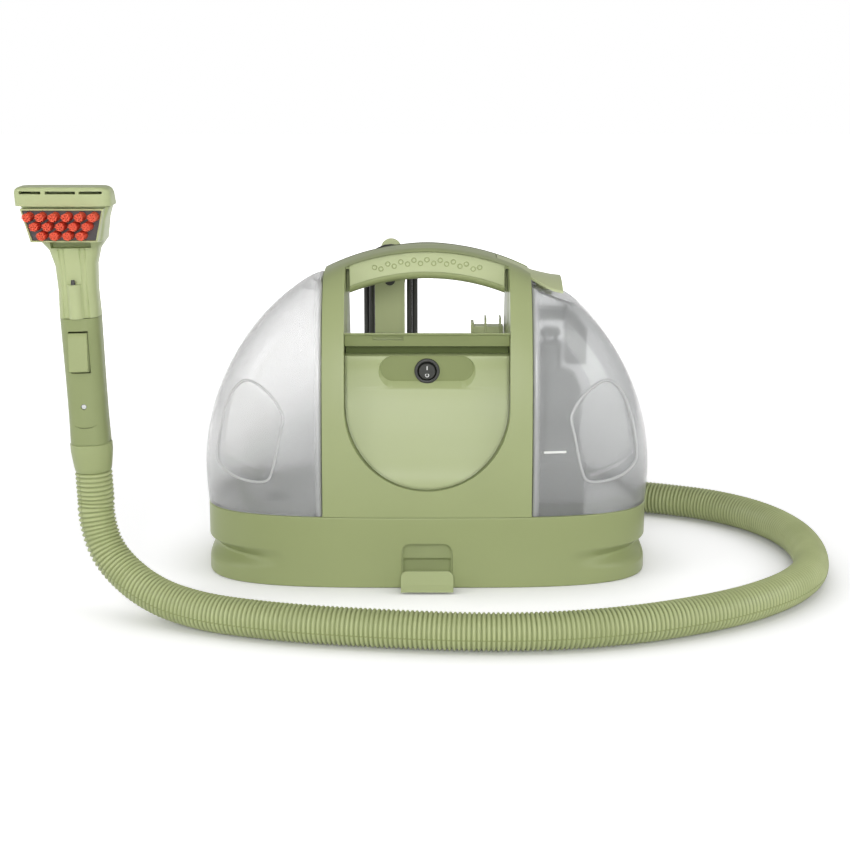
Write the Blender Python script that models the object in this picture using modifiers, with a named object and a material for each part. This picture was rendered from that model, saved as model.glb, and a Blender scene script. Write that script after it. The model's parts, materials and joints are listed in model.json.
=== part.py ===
"""Portable spot extractor, built as an assembly of separate pieces.

Sizes are in metres, written as millimetres times MM.  +Z is up, -Y is the
front, and the origin is the middle of the underside.
"""
import math

import bmesh
import bpy
from mathutils import Matrix, Vector

for stale in list(bpy.data.objects):
    bpy.data.objects.remove(stale, do_unlink=True)

MM = 0.001
SEAT_GAP = 0.4 * MM
PIN_GAP = 0.35 * MM
PAST = 6.0 * MM

# Outer form: base, belly and dome
BODY_HALF_LENGTH = 219.0 * MM
BODY_HALF_DEPTH = 101.0 * MM
BODY_TOP = 319.0 * MM
BELLY_HEIGHT = 105.0 * MM
BASE_HEIGHT = 70.0 * MM
BASE_TUCK = 2.0 * MM
CROWN_HALF_DEPTH = 20.0 * MM
PLAN_POWER = 3.4
SIDE_POWER = 2.4
SIDE_EASE = 0.62
SHELL_WALL = 3.0 * MM

# Base
BASE_STEPS = 40
GROOVE_NECK = 6.0 * MM
GROOVE_HALF_DEPTH = 114.5 * MM
GROOVE_POWER = 2.3
GROOVE_LEVELS = ((12.0, 0.0), (16.5, 0.2), (25.0, 1.0), (31.5, 0.55), (37.0, 0.0))
DECK_TOP = 63.0 * MM
DECK_UNDER = 57.0 * MM
RIM_WIDTH = 4.6 * MM
PLATE_THICKNESS = 3.0 * MM

# Centre housing
HOUSING_HALF = 100.0 * MM
COLUMN_INNER = 79.0 * MM
PANEL_CENTRE = 175.0 * MM
ARCH_RIM = 3.0 * MM
HANDLE_HALF_DEPTH = 23.0 * MM
HANDLE_UNDER = 288.0 * MM
HANDLE_SAG_RADIUS = 208.0 * MM
HANDLE_ROUND = 7.0 * MM
VOID_TOP = 208.0 * MM
LEDGE_HEIGHT = 245.0 * MM
LEDGE_FRONT = 76.5 * MM
DECK_REAR = 82.0 * MM
DECK_REAR_HEIGHT = 216.0 * MM
DECK_THICKNESS = 3.0 * MM
REAR_WALL_TOP = 211.0 * MM
PANEL_THICKNESS = 6.0 * MM
PANEL_PROFILE = ((93.0, 99.0), (110.0, 95.5), (130.0, 88.0), (155.0, 79.0), (180.0, 71.5), (205.0, 67.0), (225.0, 65.5), (236.0, 65.5))
VENT_COUNT = 7
VENT_WIDTH = 70.0 * MM
VENT_HEIGHT = 4.0 * MM
VENT_PITCH = 10.0 * MM
VENT_LOW = 98.0 * MM
VENT_X = 40.0 * MM

# Switch
SWITCH_HEIGHT = 206.0 * MM
SWITCH_RADIUS = 10.2 * MM
SWITCH_FLANGE = 12.2 * MM
SWITCH_FACE = 66.5 * MM
ROCKER_RADIUS = 8.9 * MM
PILL_HALF = 47.0 * MM
PILL_RADIUS = 15.5 * MM
PILL_FLOOR = 63.5 * MM

# Tanks
TANK_START = 100.6 * MM
TANK_WALL = 2.5 * MM
TANK_TOP = 289.0 * MM
TANK_SKIRT = 5.2 * MM
TANK_LEVELS = (90.0, 118.0, 150.0, 180.0, 208.0, 232.0, 252.0, 269.0, 281.0, 286.5)
GRIP_DEPTH = 9.0 * MM
GRIP_OUTLINE = ((-177.0, 200.0), (-168.0, 199.0), (-148.0, 186.0), (-136.0, 171.0), (-135.0, 163.0), (-140.0, 149.0), (-148.0, 117.0), (-156.0, 106.0), (-180.0, 110.0), (-197.0, 118.0), (-201.0, 127.0), (-197.0, 156.0), (-191.0, 181.0), (-183.0, 195.0))
CAP_X = -150.0 * MM
NECK_RADIUS = 17.0 * MM
NECK_BORE = 13.5 * MM
NECK_LOW = 55.0 * MM
TANK_REACH = (BODY_HALF_LENGTH - TANK_START) / 118.4
STACK_X = TANK_START + 20.9 * TANK_REACH
STACK_RADIUS = 11.7 * MM
STACK_BORE = 9.5 * MM
STACK_TOP = 221.0 * MM

# Cord gear at the back
CORD_X = -37.9 * MM
CORD_LOW = 112.0 * MM
CORD_HIGH = 274.0 * MM
DRUM_RADIUS = 15.8 * MM
CORD_RADIUS = 2.8 * MM
CORD_PITCH = 6.4 * MM
CORD_LAYER = 6.3 * MM
CORD_FIRST = BODY_HALF_DEPTH + 5.5 * MM
CORD_INNER_LOOPS = 5
CORD_OUTER_LOOPS = 4
PADDLE_REACH = 32.0 * MM
POST_HALF = 15.2 * MM
POST_FRONT = 69.0 * MM
POST_BACK = 75.5 * MM

# Hose
HOSE_RADIUS = 17.15 * MM
HOSE_ROOT_RADIUS = 14.9 * MM
HOSE_BORE = 11.8 * MM
HOSE_RIBS = 66
OUTLET_ROOT = Vector((50.0 * MM, BODY_HALF_DEPTH - 1.0 * MM, 40.0 * MM))
OUTLET_HEADING = math.radians(37.0)
OUTLET_LENGTH = 40.0 * MM
CUFF_LENGTH = 30.0 * MM
HOSE_ROUTE = ((168.0, 176.5, 28.5), (200.0, 180.0, 20.5), (231.0, 173.5, 17.4), (262.0, 160.5, 17.3), (298.0, 142.0, 17.3), (326.0, 119.0, 17.3), (350.0, 89.0, 17.3), (368.0, 50.0, 17.3), (378.0, 4.0, 17.3), (378.0, -50.0, 17.3), (367.0, -102.0, 17.3), (342.0, -148.0, 17.3), (306.0, -187.0, 17.3), (262.0, -219.0, 17.3), (206.0, -247.0, 17.3), (151.0, -265.0, 17.3), (98.0, -274.0, 17.3), (46.0, -275.5, 17.3), (-6.0, -271.0, 17.3), (-59.0, -263.5, 17.3), (-112.0, -253.5, 17.3), (-160.0, -239.0, 17.3), (-194.0, -225.0, 17.6), (-218.0, -213.0, 19.5), (-238.0, -202.5, 23.0), (-257.0, -191.5, 29.5), (-273.5, -181.0, 38.5), (-287.0, -173.0, 50.0), (-296.0, -167.5, 63.0), (-301.5, -163.5, 78.0), (-304.3, -161.2, 94.0))

# Hand tool, in its own frame: up along the grip, front to -Y
TOOL_BASE = Vector((-305.5, -160.0, 132.6)) * MM
TOOL_LEAN = math.radians(2.2)
TOOL_YAW = math.radians(-2.5)
GRIP_HALF_WIDTH = 17.4 * MM
GRIP_HALF_DEPTH = 18.2 * MM
GRIP_WALL = 3.0 * MM
GRIP_LOW = 27.4 * MM
GRIP_TOP = 143.0 * MM
HEAD_HALF_WIDTH = 40.0 * MM
HEAD_FACE = 40.0 * MM
HEAD_TOP = 262.0 * MM
TRIGGER_LOW = 96.0 * MM
TRIGGER_TOP = 131.0 * MM
TRIGGER_HALF = 8.4 * MM
PLATE_LOW = 216.3 * MM
PLATE_HIGH = 243.3 * MM
PLATE_HALF_LOW = 27.5 * MM
PLATE_HALF_HIGH = 35.0 * MM
TUFT_ROWS = ((237.0, 6), (229.0, 5), (221.0, 4))
TUFT_PITCH = 11.4 * MM
TUFT_RADIUS = 3.9 * MM
TUFT_LENGTH = 13.0 * MM
TUFT_STRANDS = 15
STRAND_RADIUS = 0.66 * MM

PARTS = bpy.data.collections.new("portable_spot_extractor")
CUTTERS = bpy.data.collections.new("cutters")
for collection in (PARTS, CUTTERS):
    bpy.context.scene.collection.children.link(collection)


def material(name, colour, roughness, alpha=1.0, metallic=0.0):
    made = bpy.data.materials.new(name)
    made.use_nodes = True
    shader = made.node_tree.nodes["Principled BSDF"]
    shader.inputs["Base Color"].default_value = (*colour, 1.0)
    shader.inputs["Roughness"].default_value = roughness
    shader.inputs["Metallic"].default_value = metallic
    shader.inputs["Alpha"].default_value = alpha
    made.diffuse_color = (*colour, alpha)
    return made


GREEN = material("sage_plastic", (0.42, 0.47, 0.26), 0.35)
DARK_GREEN = material("sage_plastic_dark", (0.20, 0.23, 0.10), 0.4)
HOSE_GREEN = material("hose_plastic", (0.30, 0.34, 0.15), 0.45)
CLEAR = material("clear_tank", (0.85, 0.87, 0.86), 0.08, 0.35)
SMOKE = material("smoked_tank", (0.45, 0.46, 0.45), 0.08, 0.5)
BLACK = material("black_plastic", (0.025, 0.025, 0.024), 0.4)
RUBBER = material("cord_rubber", (0.03, 0.03, 0.03), 0.6)
RED = material("red_bristle", (0.85, 0.10, 0.05), 0.5)
GREY = material("grey_plastic", (0.30, 0.30, 0.30), 0.5)
STEEL = material("steel", (0.55, 0.55, 0.56), 0.3, 1.0, 1.0)


def link(obj, finish):
    if finish is None:
        CUTTERS.objects.link(obj)
        obj.hide_render = True
        obj.display_type = "WIRE"
    else:
        PARTS.objects.link(obj)
        obj.data.materials.append(finish)
    return obj


def from_bmesh(name, bm, finish):
    bmesh.ops.recalc_face_normals(bm, faces=bm.faces)
    mesh = bpy.data.meshes.new(name)
    bm.to_mesh(mesh)
    bm.free()
    return link(bpy.data.objects.new(name, mesh), finish)


def loft(name, rings, finish=None):
    bm = bmesh.new()
    rows = [[bm.verts.new(point) for point in ring] for ring in rings]
    for low, high in zip(rows, rows[1:]):
        for i in range(len(low)):
            j = (i + 1) % len(low)
            bm.faces.new((low[i], low[j], high[j], high[i]))
    bm.faces.new(rows[0])
    bm.faces.new(list(reversed(rows[-1])))
    return from_bmesh(name, bm, finish)


def slab(name, outline, thickness, place, finish=None):
    curve = bpy.data.curves.new(name, "CURVE")
    curve.dimensions = "2D"
    curve.fill_mode = "BOTH"
    curve.extrude = thickness / 2.0
    spline = curve.splines.new("POLY")
    spline.points.add(len(outline) - 1)
    for point, (x, y) in zip(spline.points, outline):
        point.co = (x, y, 0.0, 1.0)
    spline.use_cyclic_u = True
    shape = bpy.data.objects.new(name + "_outline", curve)
    bpy.context.scene.collection.objects.link(shape)
    bm = bmesh.new()
    bm.from_mesh(shape.to_mesh())
    bpy.data.objects.remove(shape, do_unlink=True)
    bmesh.ops.remove_doubles(bm, verts=bm.verts, dist=1e-6)
    bm.transform(place)
    return from_bmesh(name, bm, finish)


def front_slab(name, outline, y_low, y_high, finish=None):
    place = Matrix.Translation((0.0, (y_low + y_high) / 2.0, 0.0)) @ Matrix.Rotation(math.pi / 2.0, 4, "X")
    return slab(name, outline, y_high - y_low, place, finish)


def side_slab(name, outline, x_low, x_high, finish=None):
    turn = Matrix(((0, 0, 1, 0), (1, 0, 0, 0), (0, 1, 0, 0), (0, 0, 0, 1)))
    return slab(name, outline, x_high - x_low, Matrix.Translation(((x_low + x_high) / 2.0, 0.0, 0.0)) @ turn, finish)


def plan_slab(name, outline, z_low, z_high, finish=None):
    return slab(name, outline, z_high - z_low, Matrix.Translation((0.0, 0.0, (z_low + z_high) / 2.0)), finish)


def box(name, low, high, finish=None):
    low, high = Vector(low), Vector(high)
    bm = bmesh.new()
    bmesh.ops.create_cube(bm, size=1.0, matrix=Matrix.Translation((low + high) / 2.0) @ Matrix.Diagonal((*(high - low), 1.0)))
    return from_bmesh(name, bm, finish)


def rod(name, start, end, radius, finish=None, sides=20, end_radius=None):
    start, end = Vector(start), Vector(end)
    turn = (end - start).to_track_quat("Z", "Y").to_matrix().to_4x4()
    bm = bmesh.new()
    bmesh.ops.create_cone(bm, cap_ends=True, segments=sides, radius1=radius, radius2=radius if end_radius is None else end_radius, depth=(end - start).length, matrix=Matrix.Translation((start + end) / 2.0) @ turn)
    return from_bmesh(name, bm, finish)


def turned(name, profile, place, finish, steps=16):
    """Profile of (radius, height), down the outside and up the inside."""
    bm = bmesh.new()
    points = [bm.verts.new((radius, 0.0, height)) for radius, height in profile]
    for a, b in zip(points, points[1:]):
        bm.edges.new((a, b))
    if profile[0][0] > 0.0:
        bm.edges.new((points[-1], points[0]))
    mesh = bpy.data.meshes.new(name)
    bm.to_mesh(mesh)
    bm.free()
    obj = link(bpy.data.objects.new(name, mesh), finish)
    obj.matrix_world = place
    screw = obj.modifiers.new("turn", "SCREW")
    screw.steps = screw.render_steps = steps
    screw.use_merge_vertices = True
    screw.merge_threshold = 0.00001
    screw.use_smooth_shade = False
    return obj


def tube(name, points, radius, finish, resolution=1, radii=None):
    curve = bpy.data.curves.new(name, "CURVE")
    curve.dimensions = "3D"
    curve.bevel_depth = radius
    curve.bevel_resolution = resolution
    curve.use_fill_caps = True
    spline = curve.splines.new("POLY")
    spline.points.add(len(points) - 1)
    for i, (point, place) in enumerate(zip(spline.points, points)):
        point.co = (*place, 1.0)
        point.radius = radii[i] if radii else 1.0
    return link(bpy.data.objects.new(name, curve), finish)


def solid_tube(name, points, radius, finish=None, resolution=1, radii=None):
    path = tube(name + "_path", points, radius, None, resolution, radii)
    bm = bmesh.new()
    bm.from_mesh(path.to_mesh())
    bpy.data.objects.remove(path, do_unlink=True)
    bmesh.ops.remove_doubles(bm, verts=bm.verts, dist=1e-6)
    return from_bmesh(name, bm, finish)


def boolean(target, tool, operation):
    step = target.modifiers.new(operation.lower(), "BOOLEAN")
    step.operation = operation
    step.solver = "EXACT"
    step.object = tool
    return target


def cut(target, *tools):
    for tool in tools:
        boolean(target, tool, "DIFFERENCE")
    return target


def fuse(target, *tools):
    for tool in tools:
        boolean(target, tool, "UNION")
    return target


def soften(obj, width, segments=1):
    step = obj.modifiers.new("soften", "BEVEL")
    step.width = width
    step.segments = segments
    step.limit_method = "ANGLE"
    step.angle_limit = math.radians(50.0)
    return obj


def smooth_path(knots, spacing):
    """Even points along a smooth curve through the knots."""
    knots = [Vector(k) for k in knots]
    padded = [knots[0] * 2.0 - knots[1]] + knots + [knots[-1] * 2.0 - knots[-2]]
    fine = []
    for p0, p1, p2, p3 in zip(padded, padded[1:], padded[2:], padded[3:]):
        for i in range(24):
            t = i / 24.0
            fine.append(0.5 * (2.0 * p1 + (p2 - p0) * t + (2.0 * p0 - 5.0 * p1 + 4.0 * p2 - p3) * t * t + (3.0 * p1 - p0 - 3.0 * p2 + p3) * t ** 3))
    fine.append(knots[-1])
    lengths = [0.0]
    for a, b in zip(fine, fine[1:]):
        lengths.append(lengths[-1] + (b - a).length)
    count = max(2, round(lengths[-1] / spacing))
    even, k = [], 0
    for i in range(count + 1):
        want = lengths[-1] * i / count
        while k < len(fine) - 2 and lengths[k + 1] < want:
            k += 1
        share = (want - lengths[k]) / max(lengths[k + 1] - lengths[k], 1e-9)
        even.append(fine[k].lerp(fine[k + 1], share))
    return even, lengths[-1]


def scaled(pairs):
    return [(a * MM, b * MM) for a, b in pairs]


# The outer form
def half_length(z):
    if z <= BELLY_HEIGHT:
        return BODY_HALF_LENGTH - BASE_TUCK * ((BELLY_HEIGHT - z) / (BELLY_HEIGHT - BASE_HEIGHT)) ** 2
    return BODY_HALF_LENGTH * math.sqrt(max(0.0, 1.0 - ((z - BELLY_HEIGHT) / (BODY_TOP - BELLY_HEIGHT)) ** 2))


def half_depth(z):
    share = min(1.0, max(0.0, (z - BASE_HEIGHT) / (BODY_TOP - BASE_HEIGHT)))
    return CROWN_HALF_DEPTH + (BODY_HALF_DEPTH - CROWN_HALF_DEPTH) * (1.0 - share ** SIDE_POWER) ** SIDE_EASE


def skin_depth(x, z):
    share = min(1.0, abs(x) / max(half_length(z), 1e-6))
    return half_depth(z) * (1.0 - share ** PLAN_POWER) ** (1.0 / PLAN_POWER)


def arch_height(x):
    return BELLY_HEIGHT + (BODY_TOP - BELLY_HEIGHT) * math.sqrt(1.0 - (x / BODY_HALF_LENGTH) ** 2)


def plan_radius(angle, length, depth, power):
    return (abs(math.cos(angle) / length) ** power + abs(math.sin(angle) / depth) ** power) ** (-1.0 / power)


def end_outline(length, depth, start, steps=6):
    """One end of the plan, from the start line round the tip and back."""
    first = math.acos(min(1.0, (start / length) ** (PLAN_POWER / 2.0)))
    turn = [first * (1.0 - i / steps) for i in range(steps + 1)]
    half = [(length * math.cos(t) ** (2.0 / PLAN_POWER), depth * math.sin(t) ** (2.0 / PLAN_POWER)) for t in turn]
    return [(x, -y) for x, y in half] + [(x, y) for x, y in reversed(half[:-1])]


BASE_HALF_LENGTH = BODY_HALF_LENGTH - BASE_TUCK
BASE_ANGLES = []
for step in range(BASE_STEPS):
    t = 2.0 * math.pi * step / BASE_STEPS
    c, s = math.cos(t), math.sin(t)
    BASE_ANGLES.append(math.atan2(BODY_HALF_DEPTH * math.copysign(abs(s) ** (2.0 / PLAN_POWER), s), BASE_HALF_LENGTH * math.copysign(abs(c) ** (2.0 / PLAN_POWER), c)))


def base_outline(share, inset):
    points = []
    for angle in BASE_ANGLES:
        outer = plan_radius(angle, BASE_HALF_LENGTH, BODY_HALF_DEPTH, PLAN_POWER)
        neck = plan_radius(angle, BASE_HALF_LENGTH - GROOVE_NECK, GROOVE_HALF_DEPTH, GROOVE_POWER)
        radius = outer - share * max(0.0, outer - neck) - inset
        points.append((radius * math.cos(angle), radius * math.sin(angle)))
    return points


# Base tub, bottom plate and hose clip
CLIP_HALF = 24.0 * MM
CLIP_TOP = 44.0 * MM
CLIP_LOW = PLATE_THICKNESS + SEAT_GAP
levels = [(0.0, 0.0, 1.5 * MM), (1.5 * MM, 0.0, 0.0)]
levels += [(z * MM, share, 0.0) for z, share in GROOVE_LEVELS]
levels += [(BASE_HEIGHT - 1.0 * MM, 0.0, 0.0), (BASE_HEIGHT, 0.0, 1.0 * MM)]
base_tub = loft("base_tub", [[(x, y, z) for x, y in base_outline(share, inset)] for z, share, inset in levels], GREEN)
cut(base_tub, plan_slab("tub_hollow", base_outline(1.0, SHELL_WALL), -PAST, DECK_UNDER))
for side in (-1, 1):
    pocket = [(side * x, y) for x, y in end_outline(BASE_HALF_LENGTH - RIM_WIDTH, BODY_HALF_DEPTH - RIM_WIDTH, TANK_START + 0.4 * MM)]
    cut(base_tub, plan_slab("tank_pocket", pocket, DECK_TOP, BASE_HEIGHT + PAST))
well_half = HOUSING_HALF - RIM_WIDTH
well = [(-well_half, -1.0), (well_half, -1.0), (well_half, 1.0), (-well_half, 1.0)]
well = [(x, y * (BODY_HALF_DEPTH - RIM_WIDTH) * (1.0 - (abs(x) / BASE_HALF_LENGTH) ** PLAN_POWER) ** (1.0 / PLAN_POWER)) for x, y in well]
cut(base_tub, plan_slab("motor_well", well, DECK_UNDER - PAST, BASE_HEIGHT + PAST))


def rounded_top(half, low, high, radius, steps=4):
    points = [(-half, low), (half, low)]
    for corner, start in ((half - radius, 0.0), (radius - half, math.pi / 2.0)):
        points += [(corner + radius * math.cos(start + math.pi / 2.0 * i / steps), high - radius + radius * math.sin(start + math.pi / 2.0 * i / steps)) for i in range(steps + 1)]
    return points


cut(base_tub, front_slab("clip_window", rounded_top(CLIP_HALF + SEAT_GAP, CLIP_LOW - SEAT_GAP * 0.5, CLIP_TOP + SEAT_GAP, 8.0 * MM), -BODY_HALF_DEPTH - PAST, -BODY_HALF_DEPTH + 12.0 * MM))

bottom_plate = plan_slab("bottom_plate", base_outline(1.0, SHELL_WALL + SEAT_GAP), 0.0, PLATE_THICKNESS, GREEN)

CLIP_FRONT = BODY_HALF_DEPTH + 17.0 * MM
CLIP_BACK = BODY_HALF_DEPTH - 17.0 * MM
hose_clip = front_slab("hose_clip", rounded_top(CLIP_HALF, CLIP_LOW, CLIP_TOP, 8.0 * MM), -BODY_HALF_DEPTH + 0.6 * MM, -CLIP_BACK, GREEN)
cut(hose_clip, rod("clip_hollow", (-CLIP_HALF + 3.0 * MM, -BODY_HALF_DEPTH - 3.0 * MM, 25.0 * MM), (CLIP_HALF - 3.0 * MM, -BODY_HALF_DEPTH - 3.0 * MM, 25.0 * MM), 16.5 * MM))
fuse(hose_clip, box("clip_ledge", (-CLIP_HALF + 0.5 * MM, -CLIP_FRONT, CLIP_LOW), (CLIP_HALF - 0.5 * MM, -BODY_HALF_DEPTH + 4.0 * MM, CLIP_LOW + 3.0 * MM)))
fuse(hose_clip, front_slab("clip_lip", rounded_top(CLIP_HALF + 1.0 * MM, 2.0 * MM, 21.5 * MM, 5.0 * MM), -CLIP_FRONT - 3.0 * MM, -CLIP_FRONT + 0.5 * MM))


# Centre housing, front and rear halves
HOUSING_X = [x * MM for x in (-100.0, -90.0, -70.0, -40.0, 0.0, 40.0, 70.0, 90.0, 100.0)]
HOUSING_SHARES = (0.0, 0.2, 0.4, 0.57, 0.71, 0.82, 0.9, 0.955, 0.99)


def housing_half(name, side, finish, inset=0.0, top=None):
    rings = []
    reach = HOUSING_HALF - inset
    low = BASE_HEIGHT + SEAT_GAP if top is None else BASE_HEIGHT - PAST
    middle = side * SEAT_GAP / 2.0 if top is None else -side * PAST
    for x in HOUSING_X:
        x = x * reach / HOUSING_HALF
        high = arch_height(x) if top is None else top
        ring = [(x, middle, low)]
        for share in HOUSING_SHARES if top is None else (0.0, 0.3, 0.55, 0.8, 1.0):
            z = low + (high - low) * share
            ring.append((x, side * (skin_depth(x, max(z, BASE_HEIGHT)) - inset), z))
        ring.append((x, middle, high))
        rings.append(ring)
    return loft(name, rings, finish)


def under_arc(x, lift=0.0):
    return HANDLE_UNDER + lift - HANDLE_SAG_RADIUS + math.sqrt(HANDLE_SAG_RADIUS ** 2 - x ** 2)


def horseshoe(half, low=None):
    if low is None:
        bottom = [(half * math.cos(math.pi + math.pi * i / 14), PANEL_CENTRE + half * math.sin(math.pi + math.pi * i / 14)) for i in range(15)]
    else:
        bottom = [(-half, low), (half, low)]
    top = [(half * (1.0 - i / 6.0), arch_height(half * (1.0 - i / 6.0)) - ARCH_RIM) for i in range(13)]
    return bottom + top


def hand_opening(name, low):
    rings = []
    half = COLUMN_INNER - 0.4 * MM
    for y, lift in ((-170.0 * MM, HANDLE_ROUND), (-HANDLE_HALF_DEPTH - 1.0 * MM, HANDLE_ROUND), (-HANDLE_HALF_DEPTH + 2.0 * MM, 3.5 * MM), (-HANDLE_HALF_DEPTH + 7.0 * MM, 0.0), (HANDLE_HALF_DEPTH - 7.0 * MM, 0.0), (HANDLE_HALF_DEPTH - 2.0 * MM, 3.5 * MM), (HANDLE_HALF_DEPTH + 1.0 * MM, HANDLE_ROUND), (170.0 * MM, HANDLE_ROUND)):
        arc = [(half * (1.0 - i / 6.0), y, under_arc(half * (1.0 - i / 6.0), lift)) for i in range(13)]
        rings.append([(-half, y, low), (half, y, low)] + arc)
    return loft(name, rings)


front_housing = housing_half("front_housing", -1, GREEN)
rear_housing = housing_half("rear_housing", 1, GREEN)
cut(front_housing, housing_half("front_void", -1, None, SHELL_WALL, VOID_TOP), front_slab("front_horseshoe", horseshoe(COLUMN_INNER), -170.0 * MM, -HANDLE_HALF_DEPTH), hand_opening("front_opening", PANEL_CENTRE))
cut(rear_housing, housing_half("rear_void", 1, None, SHELL_WALL, REAR_WALL_TOP - 5.0 * MM), front_slab("rear_horseshoe", horseshoe(COLUMN_INNER, REAR_WALL_TOP), HANDLE_HALF_DEPTH, 170.0 * MM), hand_opening("rear_opening", REAR_WALL_TOP))
for side in (-1, 1):
    well = sorted((side * (COLUMN_INNER + SHELL_WALL), side * (HOUSING_HALF - SHELL_WALL)))
    column_well = box("column_well", (well[0], -34.0 * MM, VOID_TOP - 8.0 * MM), (well[1], 34.0 * MM, 268.0 * MM))
    cut(front_housing, column_well)
    cut(rear_housing, column_well)
port = box("suction_port", (HOUSING_HALF - 10.0 * MM, -8.0 * MM, 247.0 * MM), (HOUSING_HALF + PAST, 8.0 * MM, 261.0 * MM))
cut(front_housing, port)
cut(rear_housing, port)
vents = bmesh.new()
for i in range(VENT_COUNT):
    z = VENT_LOW + VENT_PITCH * i
    bmesh.ops.create_cube(vents, size=1.0, matrix=Matrix.Translation((VENT_X, 100.0 * MM, z)) @ Matrix.Diagonal((VENT_WIDTH, 60.0 * MM, VENT_HEIGHT, 1.0)))
cut(rear_housing, from_bmesh("vent_slots", vents, None))

panel_line = scaled(PANEL_PROFILE)
panel_outline = [(-y, z) for z, y in panel_line] + [(-y + PANEL_THICKNESS, z) for z, y in reversed(panel_line)]
face_panel = side_slab("face_panel", panel_outline, -COLUMN_INNER - PAST, COLUMN_INNER + PAST, GREEN)
boolean(face_panel, front_slab("panel_limit", horseshoe(COLUMN_INNER - SEAT_GAP), -170.0 * MM, 0.0), "INTERSECT")
pill = []
for corner, start in ((PILL_HALF - PILL_RADIUS, -math.pi / 2.0), (PILL_RADIUS - PILL_HALF, math.pi / 2.0)):
    pill += [(corner + PILL_RADIUS * math.cos(start + math.pi * i / 8), SWITCH_HEIGHT + PILL_RADIUS * math.sin(start + math.pi * i / 8)) for i in range(9)]
cut(face_panel, front_slab("switch_recess", pill, -170.0 * MM, -PILL_FLOOR))
cut(face_panel, rod("switch_hole", (0.0, -100.0 * MM, SWITCH_HEIGHT), (0.0, -40.0 * MM, SWITCH_HEIGHT), SWITCH_RADIUS + PIN_GAP, sides=20))

slope = (LEDGE_HEIGHT - DECK_REAR_HEIGHT) / (LEDGE_FRONT + DECK_REAR)
deck_profile = [(-LEDGE_FRONT, LEDGE_HEIGHT), (-LEDGE_FRONT, LEDGE_HEIGHT - 2.0 * MM), (-LEDGE_FRONT + 2.5 * MM, LEDGE_HEIGHT - 2.6 * MM), (-LEDGE_FRONT + 6.0 * MM, LEDGE_HEIGHT - 14.0 * MM), (-LEDGE_FRONT + 9.0 * MM, LEDGE_HEIGHT - 14.0 * MM), (-LEDGE_FRONT + 7.0 * MM, LEDGE_HEIGHT - DECK_THICKNESS - slope * 7.0 * MM - 1.0 * MM), (DECK_REAR, DECK_REAR_HEIGHT - DECK_THICKNESS), (DECK_REAR, DECK_REAR_HEIGHT)]
top_deck = side_slab("top_deck", deck_profile, -COLUMN_INNER + SEAT_GAP, COLUMN_INNER - SEAT_GAP, GREEN)


def grip_plate(name, y_low, y_high):
    half = COLUMN_INNER - 4.0 * MM
    top = [(half * (1.0 - i / 6.0), arch_height(half * (1.0 - i / 6.0)) - ARCH_RIM - 1.0 * MM) for i in range(13)]
    low = [(half * (i / 6.0 - 1.0), under_arc(half * (i / 6.0 - 1.0), HANDLE_ROUND + 0.8 * MM)) for i in range(13)]
    return front_slab(name, low + top, y_low, y_high, GREEN)


handle_grip_front = grip_plate("handle_grip_front", -HANDLE_HALF_DEPTH - 1.6 * MM, -HANDLE_HALF_DEPTH - SEAT_GAP * 0.75)
handle_grip_rear = grip_plate("handle_grip_rear", HANDLE_HALF_DEPTH + SEAT_GAP * 0.75, HANDLE_HALF_DEPTH + 1.6 * MM)

# Power switch
SWITCH_PLACE = Matrix.Translation((0.0, -SWITCH_FACE, SWITCH_HEIGHT)) @ Matrix.Rotation(math.pi / 2.0, 4, "X")
switch_bezel = turned("switch_bezel", [(ROCKER_RADIUS + PIN_GAP, 0.0), (SWITCH_FLANGE - 0.8 * MM, 0.0), (SWITCH_FLANGE, -0.8 * MM), (SWITCH_FLANGE, -2.4 * MM), (SWITCH_RADIUS, -2.4 * MM), (SWITCH_RADIUS, -12.0 * MM), (ROCKER_RADIUS + PIN_GAP, -12.0 * MM)], SWITCH_PLACE, BLACK, 16)
rocker = []
for height, scale in ((1.6, 0.87), (-2.5, 0.985), (-6.0, 0.87)):
    rocker.append((height * MM, ROCKER_RADIUS * scale))
power_rocker = loft("power_rocker", [[(radius * math.cos(2.0 * math.pi * i / 20), -SWITCH_FACE - height - (0.16 * radius * math.sin(2.0 * math.pi * i / 20) if height > 0.0 else 0.0) * 0.5, SWITCH_HEIGHT + radius * math.sin(2.0 * math.pi * i / 20)) for i in range(20)] for height, radius in rocker], BLACK)

# Tanks
def tank_ring(side, z, inset, skirt=0.0):
    inset += skirt
    return [(side * x, y, z) for x, y in end_outline(half_length(z) - inset, half_depth(max(z, BASE_HEIGHT)) - inset, TANK_START + inset)]


def tank_grip(name, side, offset):
    """Finger recess in the front of a tank."""
    centre = Vector((-168.0, 0.0, 153.0)) * MM
    rings = []
    for depth, scale in ((-60.0 * MM, 1.12), (0.0, 1.0), (GRIP_DEPTH, 0.8)):
        ring = []
        for x, z in scaled(GRIP_OUTLINE):
            x = centre.x + (x - centre.x) * (scale + offset * 12.0)
            z = centre.z + (z - centre.z) * (scale + offset * 12.0)
            lean = (x - centre.x) * -0.52 + (z - centre.z) * 0.10
            y = -skin_depth(centre.x, centre.z) + lean + depth + offset if depth >= 0.0 else -170.0 * MM
            ring.append((-side * x, y, z))
        rings.append(ring)
    return loft(name, rings)


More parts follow.
